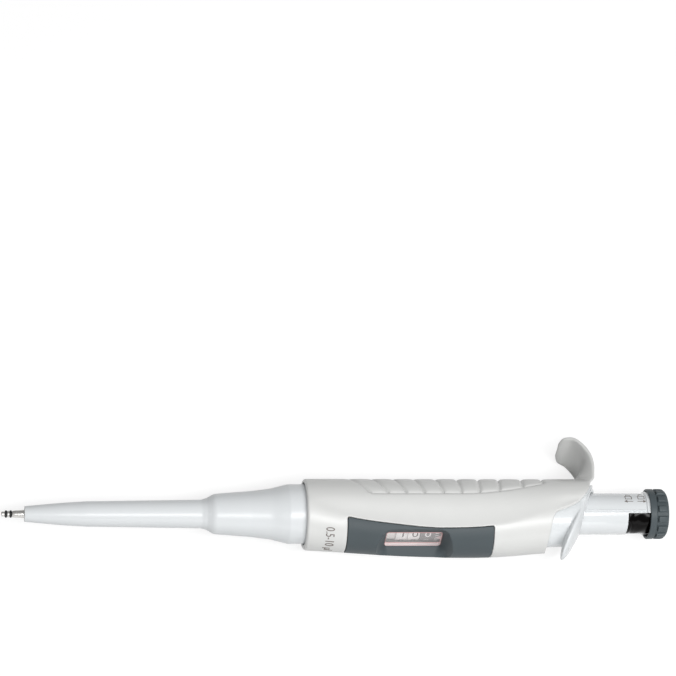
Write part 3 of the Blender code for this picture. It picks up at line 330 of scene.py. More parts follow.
def new_object(name, mesh):
    """An object in the scene with a mesh or curve."""
    item = bpy.data.objects.new(name, mesh)
    bpy.context.scene.collection.objects.link(item)
    return item


def drop(*items):
    """Remove helper objects."""
    for item in items:
        bpy.data.objects.remove(item, do_unlink=True)


def applied(item):
    """Turn an object's modifiers, text or curve into a plain mesh."""
    graph = bpy.context.evaluated_depsgraph_get()
    mesh = bpy.data.meshes.new_from_object(item.evaluated_get(graph), depsgraph=graph)
    if item.type != "MESH":
        name = item.name
        bpy.data.objects.remove(item, do_unlink=True)
        return new_object(name, mesh)
    item.modifiers.clear()
    item.data = mesh
    return item


def combined(item, tools, operation="DIFFERENCE", solver="MANIFOLD"):
    """Cut, join or intersect an object with tools, which are then removed."""
    for tool in tools:
        step = item.modifiers.new("step", "BOOLEAN")
        step.operation = operation
        step.solver = solver
        step.object = tool
    item = applied(item)
    drop(*tools)
    if not item.data.polygons:
        raise RuntimeError(item.name + " came out empty")
    return item


def rebuilt(item, voxel, passes, skin, limit):
    """Rebuild joined solids as one even skin with soft corners.

    Points near a fine skin that face its way are moved back onto it. The result stays under a
    number of triangles.
    """
    step = item.modifiers.new("rebuild", "REMESH")
    step.mode = "VOXEL"
    step.voxel_size = voxel
    step = item.modifiers.new("soften", "SMOOTH")
    step.factor = 0.5
    step.iterations = passes
    item = applied(item)
    if skin:
        drawn_to(item, skin, 1.2 * voxel, 2.4 * voxel)
    count = sum(len(face.vertices) - 2 for face in item.data.polygons)
    if count > limit:
        step = item.modifiers.new("thin", "DECIMATE")
        step.ratio = limit / count
        item = applied(item)
    return item


def drawn_to(item, skin, near, far):
    """Move points close to a fine skin onto it, fading out between two distances."""
    shape = bmesh.new()
    shape.from_mesh(skin)
    tree = BVHTree.FromBMesh(shape)
    facing = [corner.vector.copy() for corner in item.data.vertex_normals]
    for vertex, way in zip(item.data.vertices, facing):
        spot, normal, _, distance = tree.find_nearest(vertex.co, far)
        if spot is None:
            continue
        share = min(1.0, max(0.0, (far - distance) / (far - near)))
        share *= min(1.0, max(0.0, (way.dot(normal) - 0.72) / 0.15))
        vertex.co = vertex.co.lerp(spot, share)
    shape.free()


def lofted(name, rings):
    """A closed loft through rings of points."""
    count = len(rings[0])
    points = [point for ring in rings for point in ring]
    last = len(points) - count
    faces = []
    for low in range(0, last, count):
        for k in range(count):
            j = (k + 1) % count
            faces.append((low + k, low + j, low + count + j, low + count + k))
    faces.append(tuple(reversed(range(count))))
    faces.append(tuple(range(last, last + count)))
    return new_object(name, mesh_of(name, points, faces))


def rounded(corners, steps=5):
    """An outline of (x, radius, corner radius) points, with its corners rounded."""
    result = []
    for i, (x, y, corner) in enumerate(corners):
        here = Vector((x, y))
        if corner == 0.0 or i in (0, len(corners) - 1):
            result.append((x, y))
            continue
        before = Vector(corners[i - 1][:2]) - here
        after = Vector(corners[i + 1][:2]) - here
        angle = before.angle(after, 0.0)
        reach = corner / max(0.05, np.tan(angle / 2))
        reach = min(reach, 0.48 * before.length, 0.48 * after.length)
        start = here + before.normalized() * reach
        end = here + after.normalized() * reach
        for k in range(steps + 1):
            t = k / steps
            spot = start * (1 - t) ** 2 + here * 2 * t * (1 - t) + end * t * t
            result.append((spot.x, spot.y))
    return result


def turned(name, outline, steps=96):
    """Spin a closed outline of (x, radius) round the axis; points on the axis become poles."""
    points = []
    rows = []
    for x, radius in outline:
        if radius < 1e-7:
            rows.append([len(points)] * steps)
            points.append((x, 0.0, 0.0))
            continue
        rows.append(list(range(len(points), len(points) + steps)))
        for k in range(steps):
            angle = 2 * pi * k / steps
            points.append((x, radius * cos(angle), radius * sin(angle)))
    faces = []
    for low, high in zip(rows, rows[1:] + rows[:1]):
        for k in range(steps):
            j = (k + 1) % steps
            face = [low[k], low[j], high[j], high[k]]
            face = [v for i, v in enumerate(face) if v not in face[:i]]
            if len(face) > 2:
                faces.append(tuple(face))
    return new_object(name, mesh_of(name, points, faces))


def bored(name, start, end, radius, steps):
    """A round cutter along the axis."""
    return turned(name, [(end, 0.0), (end, radius), (start, radius), (start, 0.0)], steps)


def prism(name, outline, axis, low, high):
    """A flat outline of pairs pushed along an axis: "y" for (x, z) pairs, "z" for (x, y)."""
    rings = []
    for level in (low, high):
        if axis == "y":
            rings.append([(a, level, b) for a, b in outline])
        else:
            rings.append([(a, b, level) for a, b in outline])
    return lofted(name, rings)


def box(name, low, high):
    """A box between two corners."""
    outline = [(low[0], low[1]), (high[0], low[1]), (high[0], high[1]), (low[0], high[1])]
    return prism(name, outline, "z", low[2], high[2])


def smooth_path(rows, steps):
    """Rows of numbers read at even steps along a smooth curve through them."""
    table = np.array(rows, float)
    table = np.vstack([2 * table[0] - table[1], table, 2 * table[-1] - table[-2]])
    result = []
    for i in range(1, len(table) - 2):
        a, b, c, d = table[i - 1:i + 3]
        for step in range(steps):
            t = step / steps
            result.append(
                0.5 * (2 * b + (c - a) * t + (2 * a - 5 * b + 4 * c - d) * t * t
                       + (3 * b - a - 3 * c + d) * t ** 3)
            )
    result.append(table[-2])
    return [list(row) for row in result]


def eased(low, high, value):
    """0 below low, 1 above high, and a smooth step between."""
    t = np.clip((value - low) / (high - low), 0.0, 1.0)
    return t * t * (3 - 2 * t)


# The housing's shape


def between(rows, x):
    """The other numbers of a table at x, on a smooth curve through its rows."""
    if x <= rows[0][0]:
        return rows[0][1:]
    if x >= rows[-1][0]:
        return rows[-1][1:]
    i = max(k for k in range(len(rows) - 1) if rows[k][0] <= x)
    before, start, end = rows[max(i - 1, 0)], rows[i], rows[i + 1]
    after = rows[min(i + 2, len(rows) - 1)]
    span = end[0] - start[0]
    t = (x - start[0]) / span
    result = []
    for k in range(1, len(start)):
        slope0 = (end[k] - before[k]) / (end[0] - before[0])
        slope1 = (after[k] - start[k]) / (after[0] - start[0])
        result.append(
            (1 + 2 * t) * (1 - t) ** 2 * start[k] + t * (1 - t) ** 2 * span * slope0
            + t * t * (3 - 2 * t) * end[k] + t * t * (t - 1) * span * slope1
        )
    return result


def crease_at(x):
    """Half-width and height of the housing's crease, and its front depth, at a place."""
    return between(HOUSING_SECTIONS, x - LIP)


def front_arc(x):
    """Radius of the front's arc and its half angle at a place."""
    half, height, depth = crease_at(x)
    rise = depth + height
    radius = (half * half + rise * rise) / (2 * rise)
    return radius, atan2(half, radius - rise)


def half_section(x, flat, count):
    """Half of a section from the middle of the front to the middle of the back.

    Its points are evenly spaced, and its corners are softened on a denser copy of the line.
    """
    half, height, depth = crease_at(x)
    radius, sweep = front_arc(x)
    t = np.linspace(0.0, 1.0, 80)
    front = np.stack([radius * np.sin(sweep * t), radius - depth - radius * np.cos(sweep * t)], 1)
    reach = -height
    anchors = np.array([
        (half, height),
        (half + 0.10 * reach, height + 0.45 * reach),
        (BACK_R, height + 0.62 * reach),
        (BACK_R, 0.0),
    ])
    weights = np.stack([(1 - t) ** 3, 3 * t * (1 - t) ** 2, 3 * t * t * (1 - t), t ** 3], 1)
    side = weights @ anchors
    start = BACK_FLAT if flat else 0.0
    turn = start + (pi / 2 - start) * t
    back = BACK_R * np.stack([np.cos(turn), np.sin(turn)], 1)
    line = np.vstack([front, side[1:], back[1 - int(flat):]])
    steps = np.concatenate([[0.0], np.cumsum(np.linalg.norm(np.diff(line, axis=0), axis=1))])
    even = np.linspace(0.0, steps[-1], DENSE)
    dense = np.stack([np.interp(even, steps, line[:, k]) for k in (0, 1)], 1)
    pad = 40
    mirror = np.array([-1.0, 1.0])
    long = np.vstack([dense[pad:0:-1] * mirror, dense, dense[-2:-pad - 2:-1] * mirror])
    sigma = CREASE_SPREAD / (even[1] - even[0])
    kernel = np.exp(-0.5 * (np.arange(-pad, pad + 1) / sigma) ** 2)
    kernel /= kernel.sum()
    soft = np.stack([np.convolve(long[:, k], kernel, "valid") for k in (0, 1)], 1)
    soft[0, 0] = 0.0
    soft[-1, 0] = 0.0
    rows = np.linspace(0, DENSE - 1, count)
    return np.stack([np.interp(rows, np.arange(DENSE), soft[:, k]) for k in (0, 1)], 1)


def section(x, inset=0.0, count=190):
    """A section of the housing, moved in by inset: x, y and z of each point."""
    under = half_section(x, True, count)
    upper = half_section(x, False, count)
    upper[:, 0] *= -1
    ring = np.vstack([under, upper[-2:0:-1]])
    if inset:
        along = np.roll(ring, -1, 0) - np.roll(ring, 1, 0)
        along /= np.linalg.norm(along, axis=1)[:, None]
        ring = ring + inset * np.stack([-along[:, 1], along[:, 0]], 1)
    return np.column_stack([np.full(len(ring), x), ring])


# Grip pads on the back: where each groove meets the silhouette and how far it slants. Then the
# angles from the back's middle of the silhouette and of the first and last pads' ends, where the
# pads narrow, how the grooves bend, and how the lip is rounded
GROOVES = (
    (0.1267, 0.0070),
    (0.1352, 0.0050),
    (0.1432, 0.0037),
    (0.1509, 0.0027),
    (0.1589, 0.0017),
    (0.1670, 0.0002),
    (0.1749, -0.0010),
    (0.1826, -0.0013),
    (0.1911, -0.0008),
    (0.1988, 0.0),
)
SEEN_TURN = radians(35.5)
PAD_TURN = radians(88.5)
LAST_PAD_TURN = radians(62.0)
NARROWING_X = 0.165
NARROWING_LENGTH = 0.0348
SLANT_BEND = 0.3
LIP_ROUND = 0.0009


def pad_edge(x):
    """Angle from the back's middle at which the pads end, at places along the axis."""
    share = np.clip((x - NARROWING_X) / NARROWING_LENGTH, 0.0, 1.2)
    return PAD_TURN + (LAST_PAD_TURN - PAD_TURN) * share ** 2.3


def grip_depth(x, turn, deep, wide):
    """How far the grip's grooves go in at places along the axis and angles from the back."""
    bend = np.hypot(np.abs(turn) / PAD_TURN, SLANT_BEND)
    seen = np.hypot(SEEN_TURN / PAD_TURN, SLANT_BEND)
    whole = np.hypot(1.0, SLANT_BEND)
    depth = np.zeros_like(x)
    pillow = np.zeros_like(x)
    inside = (pad_edge(x) - np.abs(turn)) * BACK_R
    bend = (bend - seen) / (whole - seen)
    aways = [x - (place + slant * bend) for place, slant in GROOVES]
    for away in aways:
        depth = np.maximum(depth, np.exp(-(np.abs(away) / wide) ** 1.5))
        pillow = np.maximum(pillow, np.exp(-(away / (3.4 * wide)) ** 2))
    reach = eased(-0.4 * wide, 0.8 * wide, aways[0] + 0.5 * wide)
    reach = reach * eased(0.3 * wide, -0.6 * wide, aways[-1])
    ends = np.exp(-(np.abs(inside) / (0.85 * wide)) ** 1.6) * 0.45
    ends += np.exp(-((inside - wide) / (2.0 * wide)) ** 2) * 0.10 * (inside > 0)
    fade = eased(-0.3 * wide, 0.9 * wide, inside)
    grooves = (depth + 0.16 * pillow) * fade
    return deep * np.maximum(grooves, ends * reach)


def fine_skin(deep, wide):
    """The housing's outside with its grip, as a closed fine solid."""
    stations = [LIP + LIP_ROUND * (1 - cos(pi / 2 * k / 5)) for k in range(5)]
    stations += list(np.arange(LIP + LIP_ROUND, HOUSING_END, 0.00028)) + [HOUSING_END]
    rings = []
    for x in stations:
        inside = max(0.0, 1 - (x - LIP) / LIP_ROUND)
        ring = section(x, LIP_ROUND * (1 - sqrt(max(0.0, 1 - inside * inside))))
        turn = np.arctan2(ring[:, 1], ring[:, 2])
        depth = grip_depth(ring[:, 0], turn, deep, wide)
        radius = np.hypot(ring[:, 1], ring[:, 2])
        shrink = (1 - depth / radius)[:, None]
        ring[:, 1:] *= shrink
        rings.append(ring)
    return lofted("fine_skin", rings)


def finger_hook():
    """The hook: a sheet that leaves the housing's back and curls over the finger."""
    rows = smooth_path(HOOK_PATH, 10)
    across = 32
    rings = []
    for i, (rise, height, half, thick, drop) in enumerate(rows):
        before = rows[max(i - 1, 0)]
        after = rows[min(i + 1, len(rows) - 1)]
        along = Vector((after[0] - before[0], after[1] - before[1])).normalized()
        out = Vector((-along.y, along.x))
        centre = Vector((FRONT_RIM + rise, height))
        ring = []
        for k in range(2 * across):
            angle = pi * k / across
            share = cos(angle)
            level = sin(angle)
            level = (abs(level) ** 0.45) * (1 if level >= 0 else -1)
            spot = centre + out * (thick / 2 * level - drop * share * share)
            ring.append((spot.x, half * share, spot.y))
        rings.append(ring)
    return lofted("finger_hook", rings)


def rim_cutter():
    """Everything beyond the top rim: square at the front, rising to the hook."""
    rim = smooth_path([(FRONT_RIM + rise, height) for height, rise in RIM_CURVE], 8)
    wide = 2 * BACK_R
    far = HOUSING_END + BACK_R
    outline = [tuple(row) for row in rim] + [(far, rim[-1][1]), (far, rim[0][1])]
    return prism("rim_cutter", outline, "y", -wide, wide)


def panel_band(name, inset, deep, corner=0.0008):
    """The part of the front between its creases, where the panel lies, with square edges."""
    start, end = PANEL_X + inset, PANEL_END - inset
    turns = [pi / 2 * k / 6 for k in range(7)]
    ends = [(corner * (1 - cos(turn)), corner * (1 - sin(turn))) for turn in turns]
    places = [(start + step, trim) for step, trim in ends]
    places += [(x, 0.0) for x in np.linspace(start + corner, end - corner, 90)[1:-1]]
    places += [(end - step, trim) for step, trim in reversed(ends)]
    rings = []
    for x, trim in places:
        radius, sweep = front_arc(x)
        depth = crease_at(x)[2]
        half_turn = sweep - (PANEL_EDGE + inset + trim) / radius
        ring = []
        for reach, way in ((radius + 0.0030, 1), (radius - deep, -1)):
            for turn in np.linspace(-way * half_turn, way * half_turn, 25):
                ring.append((x, reach * sin(turn), radius - depth - reach * cos(turn)))
        rings.append(ring)
    return lofted(name, rings)


def rounded_rectangle(x0, x1, half_width, corner, steps=8):
    """Points round a rectangle with round corners, centred on y = 0."""
    centres = (
        (x1 - corner, half_width - corner, 0.0),
        (x0 + corner, half_width - corner, pi / 2),
        (x0 + corner, corner - half_width, pi),
        (x1 - corner, corner - half_width, 3 * pi / 2),
    )
    points = []
    for x, y, start in centres:
        for i in range(steps + 1):
            angle = start + pi / 2 * i / steps
            points.append((x + corner * cos(angle), y + corner * sin(angle)))
    return points


def recess(name, wall, depth):
    """The display recess: scooped outwards from its floor, with a wall round it."""
    rings = []
    reach = LENS_HALF_WIDTH + FINE_GAP + wall
    for rise in np.linspace(0.0, RECESS_HEIGHT, 17):
        scoop = rise - 0.0006 * (1 - np.exp(-rise / 0.0006))
        near = reach + NEAR_SLOPE * rise
        far = reach + FAR_SLOPE * rise
        outline = rounded_rectangle(
            LENS_X - FINE_GAP - wall - START_SLOPE * scoop,
            LENS_END + FINE_GAP + wall + END_SLOPE * scoop,
            (near + far) / 2,
            LENS_CORNER + wall + min(1.5 * rise, 0.0034),
            10,
        )
        rings.append([(x, y + (far - near) / 2, -depth - rise) for x, y in outline])
    return lofted(name, rings)


# Nodes


def feed(tree, made, inputs):
    """Set a node's inputs to values, or link them to other nodes' outputs."""
    for key, value in inputs.items():
        if isinstance(value, bpy.types.NodeSocket):
            tree.links.new(value, made.inputs[key])
        else:
            made.inputs[key].default_value = value


def node(tree, kind, inputs=None, **settings):
    """A new node's outputs, with its settings and its inputs given."""
    made = tree.nodes.new(kind)
    for key, value in settings.items():
        setattr(made, key, value)
    feed(tree, made, inputs or {})
    return made.outputs


def noise(tree, space, scale, detail=2.0):
    """Noise in a space, from 0 to 1."""
    return node(tree, "ShaderNodeTexNoise", {"Vector": space, "Scale": scale, "Detail": detail})["Fac"]


def mixed(tree, share, first, second):
    """A colour between two, by a share."""
    inputs = {"Factor": share, "A": (*first, 1.0), "B": (*second, 1.0)}
    return node(tree, "ShaderNodeMix", inputs, data_type="RGBA")["Result"]


def ranged(tree, value, low, high):
    """A value from 0 to 1 made to run from low to high."""
    return node(tree, "ShaderNodeMapRange", {"Value": value, "To Min": low, "To Max": high})["Result"]


def bumped(tree, height, strength, distance):
    """The surface's direction, bent by a height."""
    inputs = {"Height": height, "Strength": strength, "Distance": distance}
    return node(tree, "ShaderNodeBump", inputs)["Normal"]


def worked_out(tree, operation, *values):
    """The result of an operation on values."""
    return node(tree, "ShaderNodeMath", dict(enumerate(values)), operation=operation)["Value"]


# Materials


def new_material(name):
    """A material, with its node tree and its surface shader."""
    material = bpy.data.materials.new(name)
    material.use_nodes = True
    return material, material.node_tree, material.node_tree.nodes["Principled BSDF"]


def moulded(name, colour, rough, grain=0.06, spread=0.04, coat=0.0, gloss=0.5):
    """Moulded plastic: cloudy colour, slightly uneven gloss and a fine skin."""
    material, tree, shader = new_material(name)
    where = node(tree, "ShaderNodeTexCoord")["Object"]
    clouds = noise(tree, where, 140.0, 4.0)
    darker = [c * (1 - spread) for c in colour]
    paler = [min(1.0, c * (1 + spread)) for c in colour]
    feed(tree, shader, {
        "IOR": 1.49,
        "Coat Weight": coat,
        "Coat Roughness": 0.08,
        "Specular IOR Level": gloss,
        "Base Color": mixed(tree, clouds, darker, paler),
        "Roughness": ranged(tree, clouds, rough - 0.05, rough + 0.05),
        "Normal": bumped(tree, noise(tree, where, 2600.0, 3.0), grain, 0.0001),
    })
    return material


def machined(name, colour, rough):
    """Turned metal: fine rings round the axis, and slightly uneven gloss."""
    material, tree, shader = new_material(name)
    where = node(tree, "ShaderNodeTexCoord")["Object"]
    drawn_out = {"Vector": where, "Scale": (1.0, 0.04, 0.04)}
    rings = noise(tree, node(tree, "ShaderNodeMapping", drawn_out)["Vector"], 2400.0, 4.0)
    feed(tree, shader, {
        "Metallic": 1.0,
        "Base Color": mixed(tree, rings, [c * 0.86 for c in colour], colour),
        "Roughness": ranged(tree, rings, rough - 0.06, rough + 0.08),
        "Normal": bumped(tree, rings, 0.08, 0.00005),
    })
    return material


def clear_lens(name, tint):
    """Clear moulded window: nearly see-through, tinted along its side walls, under a thin pale veil
    that is partly the plastic's haze and partly a painted reflection of the bright room.
    """
    material, tree, shader = new_material(name)
    where = node(tree, "ShaderNodeTexCoord")["Object"]
    side = node(tree, "ShaderNodeAttribute", attribute_name="side")["Fac"]
    # Pale veil: partly the plastic's haze, partly a painted reflection of the bright room that also
    # lifts the shade on the drums behind the lens
    haze_and_painted_sheen = ranged(tree, noise(tree, where, 300.0), 0.10, 0.17)
    edges = worked_out(tree, "POWER", side, 4.0)
    feed(tree, shader, {
        "Roughness": 0.08,
        "IOR": 1.45,
        "Base Color": mixed(tree, edges, (0.96, 0.94, 0.94), tint),
        "Alpha": worked_out(tree, "MULTIPLY_ADD", side, 1.10, haze_and_painted_sheen),
    })
    return material


def floor_finish():
    """White floor that keeps the object's shadow."""
    material, tree, shader = new_material("studio floor")
    tree.nodes.remove(shader)
    where = node(tree, "ShaderNodeTexCoord")["Object"]
    shades = mixed(tree, noise(tree, where, 8.0), (0.34, 0.34, 0.34), (0.35, 0.35, 0.35))
    matt = node(tree, "ShaderNodeBsdfDiffuse", {"Color": shades})["BSDF"]
    rays = node(tree, "ShaderNodeLightPath")
    seen = worked_out(tree, "MAXIMUM", rays["Is Camera Ray"], rays["Is Glossy Ray"])
    seen = worked_out(tree, "MAXIMUM", seen, rays["Is Transmission Ray"])
    level = worked_out(tree, "MULTIPLY", seen, FLOOR_GLOW)
    glow = node(tree, "ShaderNodeEmission", {"Strength": level})["Emission"]
    both = node(tree, "ShaderNodeAddShader", {0: matt, 1: glow})["Shader"]
    feed(tree, tree.nodes["Material Output"], {"Surface": both})
    return material


def finished(item, body, material, nodes=(), sharp=35):
    """Put a piece in its place with its material, and tie it to its body."""
    mesh = item.data
    mesh.transform(PLACE)
    mesh.materials.clear()
    mesh.materials.append(material)
    mesh.polygons.foreach_set("material_index", [0] * len(mesh.polygons))
    mesh.shade_smooth()
    mesh.set_sharp_from_angle(angle=radians(sharp))
    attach(item, body)
    if nodes:
        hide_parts(*nodes)
    return item


# Geometry Nodes


def new_tree(name, labels):
    """A geometry tree with named inputs for numbers and a material, and the inputs' sockets."""
    tree = bpy.data.node_groups.new(name, "GeometryNodeTree")
    sockets = {"Geometry": "Geometry", **labels, "Material": "Material"}
    for label, kind in sockets.items():
        tree.interface.new_socket(label, in_out="INPUT", socket_type="NodeSocket" + kind)
    tree.interface.new_socket("Geometry", in_out="OUTPUT", socket_type="NodeSocketGeometry")
    return tree, node(tree, "NodeGroupInput")


def ended(tree, given, geometry):
    """End a geometry tree: its copies made real, with the given material."""
    real = node(tree, "GeometryNodeRealizeInstances", {"Geometry": geometry})["Geometry"]
    inputs = {"Geometry": real, "Material": given["Material"]}
    dressed = node(tree, "GeometryNodeSetMaterial", inputs)["Geometry"]
    node(tree, "NodeGroupOutput", {"Geometry": dressed})
    return tree


def copies_tree(name):
    """Copies of a shape round the pipette's axis, an even angle apart."""
    tree, given = new_tree(name, {"Count": "Int", "Angle": "Float", "Start": "Float"})
    points = node(tree, "GeometryNodePoints", {"Count": given["Count"]})["Points"]
    inputs = {"Points": points, "Instance": given["Geometry"]}
    placed = node(tree, "GeometryNodeInstanceOnPoints", inputs)["Instances"]
    index = node(tree, "GeometryNodeInputIndex")["Index"]
    turn = worked_out(tree, "MULTIPLY_ADD", index, given["Angle"], given["Start"])
    around = node(tree, "ShaderNodeCombineXYZ", {"X": turn})["Vector"]
    inputs = {"Instances": placed, "Rotation": around, "Local Space": False}
    return ended(tree, given, node(tree, "GeometryNodeRotateInstances", inputs)["Instances"])


def ring_tree(name):
    """A round wire bent into a ring across the pipette's axis."""
    tree, given = new_tree(
        name, {"Ring radius": "Float", "Wire radius": "Float", "Place": "Float"}
    )
    circles = []
    for label, steps in (("Ring radius", 72), ("Wire radius", 20)):
        inputs = {"Resolution": steps, "Radius": given[label]}
        circles.append(node(tree, "GeometryNodeCurvePrimitiveCircle", inputs)["Curve"])
    inputs = {"Curve": circles[0], "Profile Curve": circles[1]}
    swept = node(tree, "GeometryNodeCurveToMesh", inputs)["Mesh"]
    inputs = {
        "Geometry": swept,
        "Translation": node(tree, "ShaderNodeCombineXYZ", {"X": given["Place"]})["Vector"],
        "Rotation": (0.0, pi / 2, 0.0),
    }
    return ended(tree, given, node(tree, "GeometryNodeTransform", inputs)["Geometry"])


def grown(item, make, name, values):
    """Run a geometry tree on an object with its inputs set, and keep the plain mesh."""
    step = item.modifiers.new("nodes", "NODES")
    step.node_group = bpy.data.node_groups.get(name) or make(name)
    keys = {socket.name: socket.identifier for socket in step.node_group.interface.items_tree}
    for label, value in values.items():
        step[keys[label]] = value
    return applied(item)


def copied(item, count, angle, start, material):
    """Copies of an object round the axis, as one plain mesh."""
    values = {"Count": count, "Angle": angle, "Start": start, "Material": material}
    return grown(item, copies_tree, "copies round the axis", values)


# Markings


def wrapped(item, across, turn_at):
    """Cut a flat marking into narrow strips and bend it onto a round surface."""
    shape = bmesh.new()
    shape.from_mesh(item.data)
    bmesh.ops.remove_doubles(shape, verts=shape.verts, dist=1e-7)
    low = min(vertex.co[across] for vertex in shape.verts)
    high = max(vertex.co[across] for vertex in shape.verts)
    for at in np.arange(low + 0.0003, high, 0.0003):
        spot = Vector((0.0, 0.0, 0.0))
        spot[across] = at
        normal = Vector((0.0, 0.0, 0.0))
        normal[across] = 1.0
        faces = shape.verts[:] + shape.edges[:] + shape.faces[:]
        bmesh.ops.bisect_plane(shape, geom=faces, plane_co=spot, plane_no=normal)
    for vertex in shape.verts:
        vertex.co = turn_at(vertex.co)
    bmesh.ops.recalc_face_normals(shape, faces=shape.faces)
    shape.to_mesh(item.data)
    shape.free()
    return item


def on_round(place, start, radius):
    """Where a flat marking's points go on a round surface, at a place and a turn."""

    def turn_at(point):
        turn = start + point.y / radius
        reach = radius + point.z
        return Vector((place + point.x, -reach * sin(turn), -reach * cos(turn)))

    return turn_at


def lettering(name, words, height, thick):
    """Flat words, centred, as a thin solid mesh."""
    text = bpy.data.curves.new(name, "FONT")
    text.body = words
    text.size = height / 0.72
    text.align_x = "CENTER"
    text.align_y = "CENTER"
    text.extrude = thick / 2
    text.resolution_u = 4
    return applied(new_object(name, text))


def widened(item, width):
    """Stretch or squeeze flat words across to a width, about their middle."""
    low = min(vertex.co.x for vertex in item.data.vertices)
    high = max(vertex.co.x for vertex in item.data.vertices)
    middle = (low + high) / 2
    for vertex in item.data.vertices:
        vertex.co.x = (vertex.co.x - middle) * width / (high - low)
    return item


def joined(name, items):
    """Several objects as one mesh."""
    shape = bmesh.new()
    for item in items:
        shape.from_mesh(item.data)
    mesh = bpy.data.meshes.new(name)
    shape.to_mesh(mesh)
    shape.free()
    drop(*items)
    return new_object(name, mesh)


# Operators: one for each group of pieces


class PIPETTE_OT_housing(bpy.types.Operator):
    """Make the housing with its grip pads, finger hook and printed range."""

    bl_idname = "pipette.housing"
    bl_label = "Housing"

    def execute(self, context):
        look = context.scene.pipette_shell
        shell = fine_skin(look.groove_depth, look.groove_width)
        skin = shell.data.copy()
        stations = np.arange(BULKHEAD_END, HOUSING_END + PAST, 0.002)
        tools = [
            lofted("shell_hollow", [section(x, HOUSING_WALL, 60) for x in stations]),
            bored("lip_bore", LIP - PAST, BULKHEAD_X, 0.0115, 96),
            bored("bulkhead_hole", HOLES_X, HOLES_END, 0.0083, 64),
            box("rod_slot", (HOLES_X, -0.0027, 0.0093), (HOLES_END, 0.0027, 0.0116)),
            panel_band("panel_opening", 0.0, 2 * HOUSING_WALL),
            rim_cutter(),
        ]
        shell = combined(shell, tools)
        shell = combined(shell, [finger_hook()], "UNION")
        shell = rebuilt(shell, look.grain, 6, skin, 190000)
        shell.name = "housing_shell"
        material = moulded("housing plastic", look.colour, 0.34, 0.05, 0.02)
        finished(shell, "body", material, ["housing"], 180)

        ink = moulded("printed ink", look.lettering, 0.55)
        words = widened(lettering("volume_range", "0.5-10 µl", 0.0033, 0.00016), 0.0118)

        def on_front(point):
            x = RANGE_X + point.y
            radius = front_arc(x)[0]
            depth = crease_at(x)[2]
            reach = radius + point.z
            turn = (point.x - RANGE_SHIFT) / radius
            return Vector((x, reach * sin(turn), radius - depth - reach * cos(turn)))

        words = wrapped(words, 0, on_front)
        finished(words, "body", ink)
        return {"FINISHED"}


class PIPETTE_OT_panel(bpy.types.Operator):
    """Make the display panel with its recess, and the clear lens."""

    bl_idname = "pipette.panel"
    bl_label = "Display panel"

    def execute(self, context):
        look = context.scene.pipette_panel
        floor = LENS_FACE - RECESS_WALL
        panel = panel_band("display_plate", 0.0002, PANEL_DEPTH)
        stations = np.arange(SKIN_X, SKIN_END, 0.0005)
        outside = lofted("panel_outside", [section(x, 0.0) for x in stations])
        skin = outside.data.copy()
        inside = lofted("panel_inside", [section(x, HOUSING_WALL) for x in stations])
        inside = combined(inside, [recess("recess_outer", RECESS_WALL, floor - PAST / 2)])
        hole = rounded_rectangle(
            LENS_X - FINE_GAP, LENS_END + FINE_GAP, LENS_HALF_WIDTH + FINE_GAP, LENS_CORNER
        )
        panel = combined(panel, [outside], "INTERSECT")
        tools = [
            inside,
            recess("recess_inner", 0.0, LENS_FACE),
            prism("lens_hole", hole, "z", -LENS_FACE - PAST, -floor + PAST),
        ]
        panel = combined(panel, tools)
        panel = rebuilt(panel, PANEL_VOXEL, 2, skin, 120000)
        slate = moulded("slate plastic", look.colour, 0.50, 0.10, 0.05, 0.0, 0.3)
        finished(panel, "body", slate, ["display_panel"], 180)

        outline = rounded_rectangle(LENS_X, LENS_END, LENS_HALF_WIDTH, LENS_CORNER)
        lens = prism("display_window", outline, "z", -LENS_FACE, -LENS_FACE + LENS_THICK)
        step = lens.modifiers.new("edge", "BEVEL")
        step.width = 0.00012
        step.segments = 2
        lens = applied(lens)
        side = lens.data.attributes.new("side", "FLOAT", "FACE")
        for polygon in lens.data.polygons:
            slope = abs(polygon.normal.z)
            if slope < 0.1:
                side.data[polygon.index].value = 0.7
            elif slope <= 0.99:
                side.data[polygon.index].value = 1.0
        clear = clear_lens("clear window", look.tint)
        finished(lens, "body", clear, ["display_lens"])
        low = -LENS_FACE + LENS_THICK + 0.00005
        level = 0.0010
        for name, length, colour, thick in (
            ("drum_pointer", 0.0011, (0.62, 0.035, 0.03), 0.00020),
            ("pointer_border", 0.0018, (0.78, 0.62, 0.62), 0.00012),
        ):
            half = 0.62 * length
            shape = [(LENS_END - length, level), (LENS_END, level + half), (LENS_END, level - half)]
            pointer = prism(name, shape, "z", low, low + thick)
            finished(pointer, "body", moulded(name + " ink", colour, 0.5))
        return {"FINISHED"}


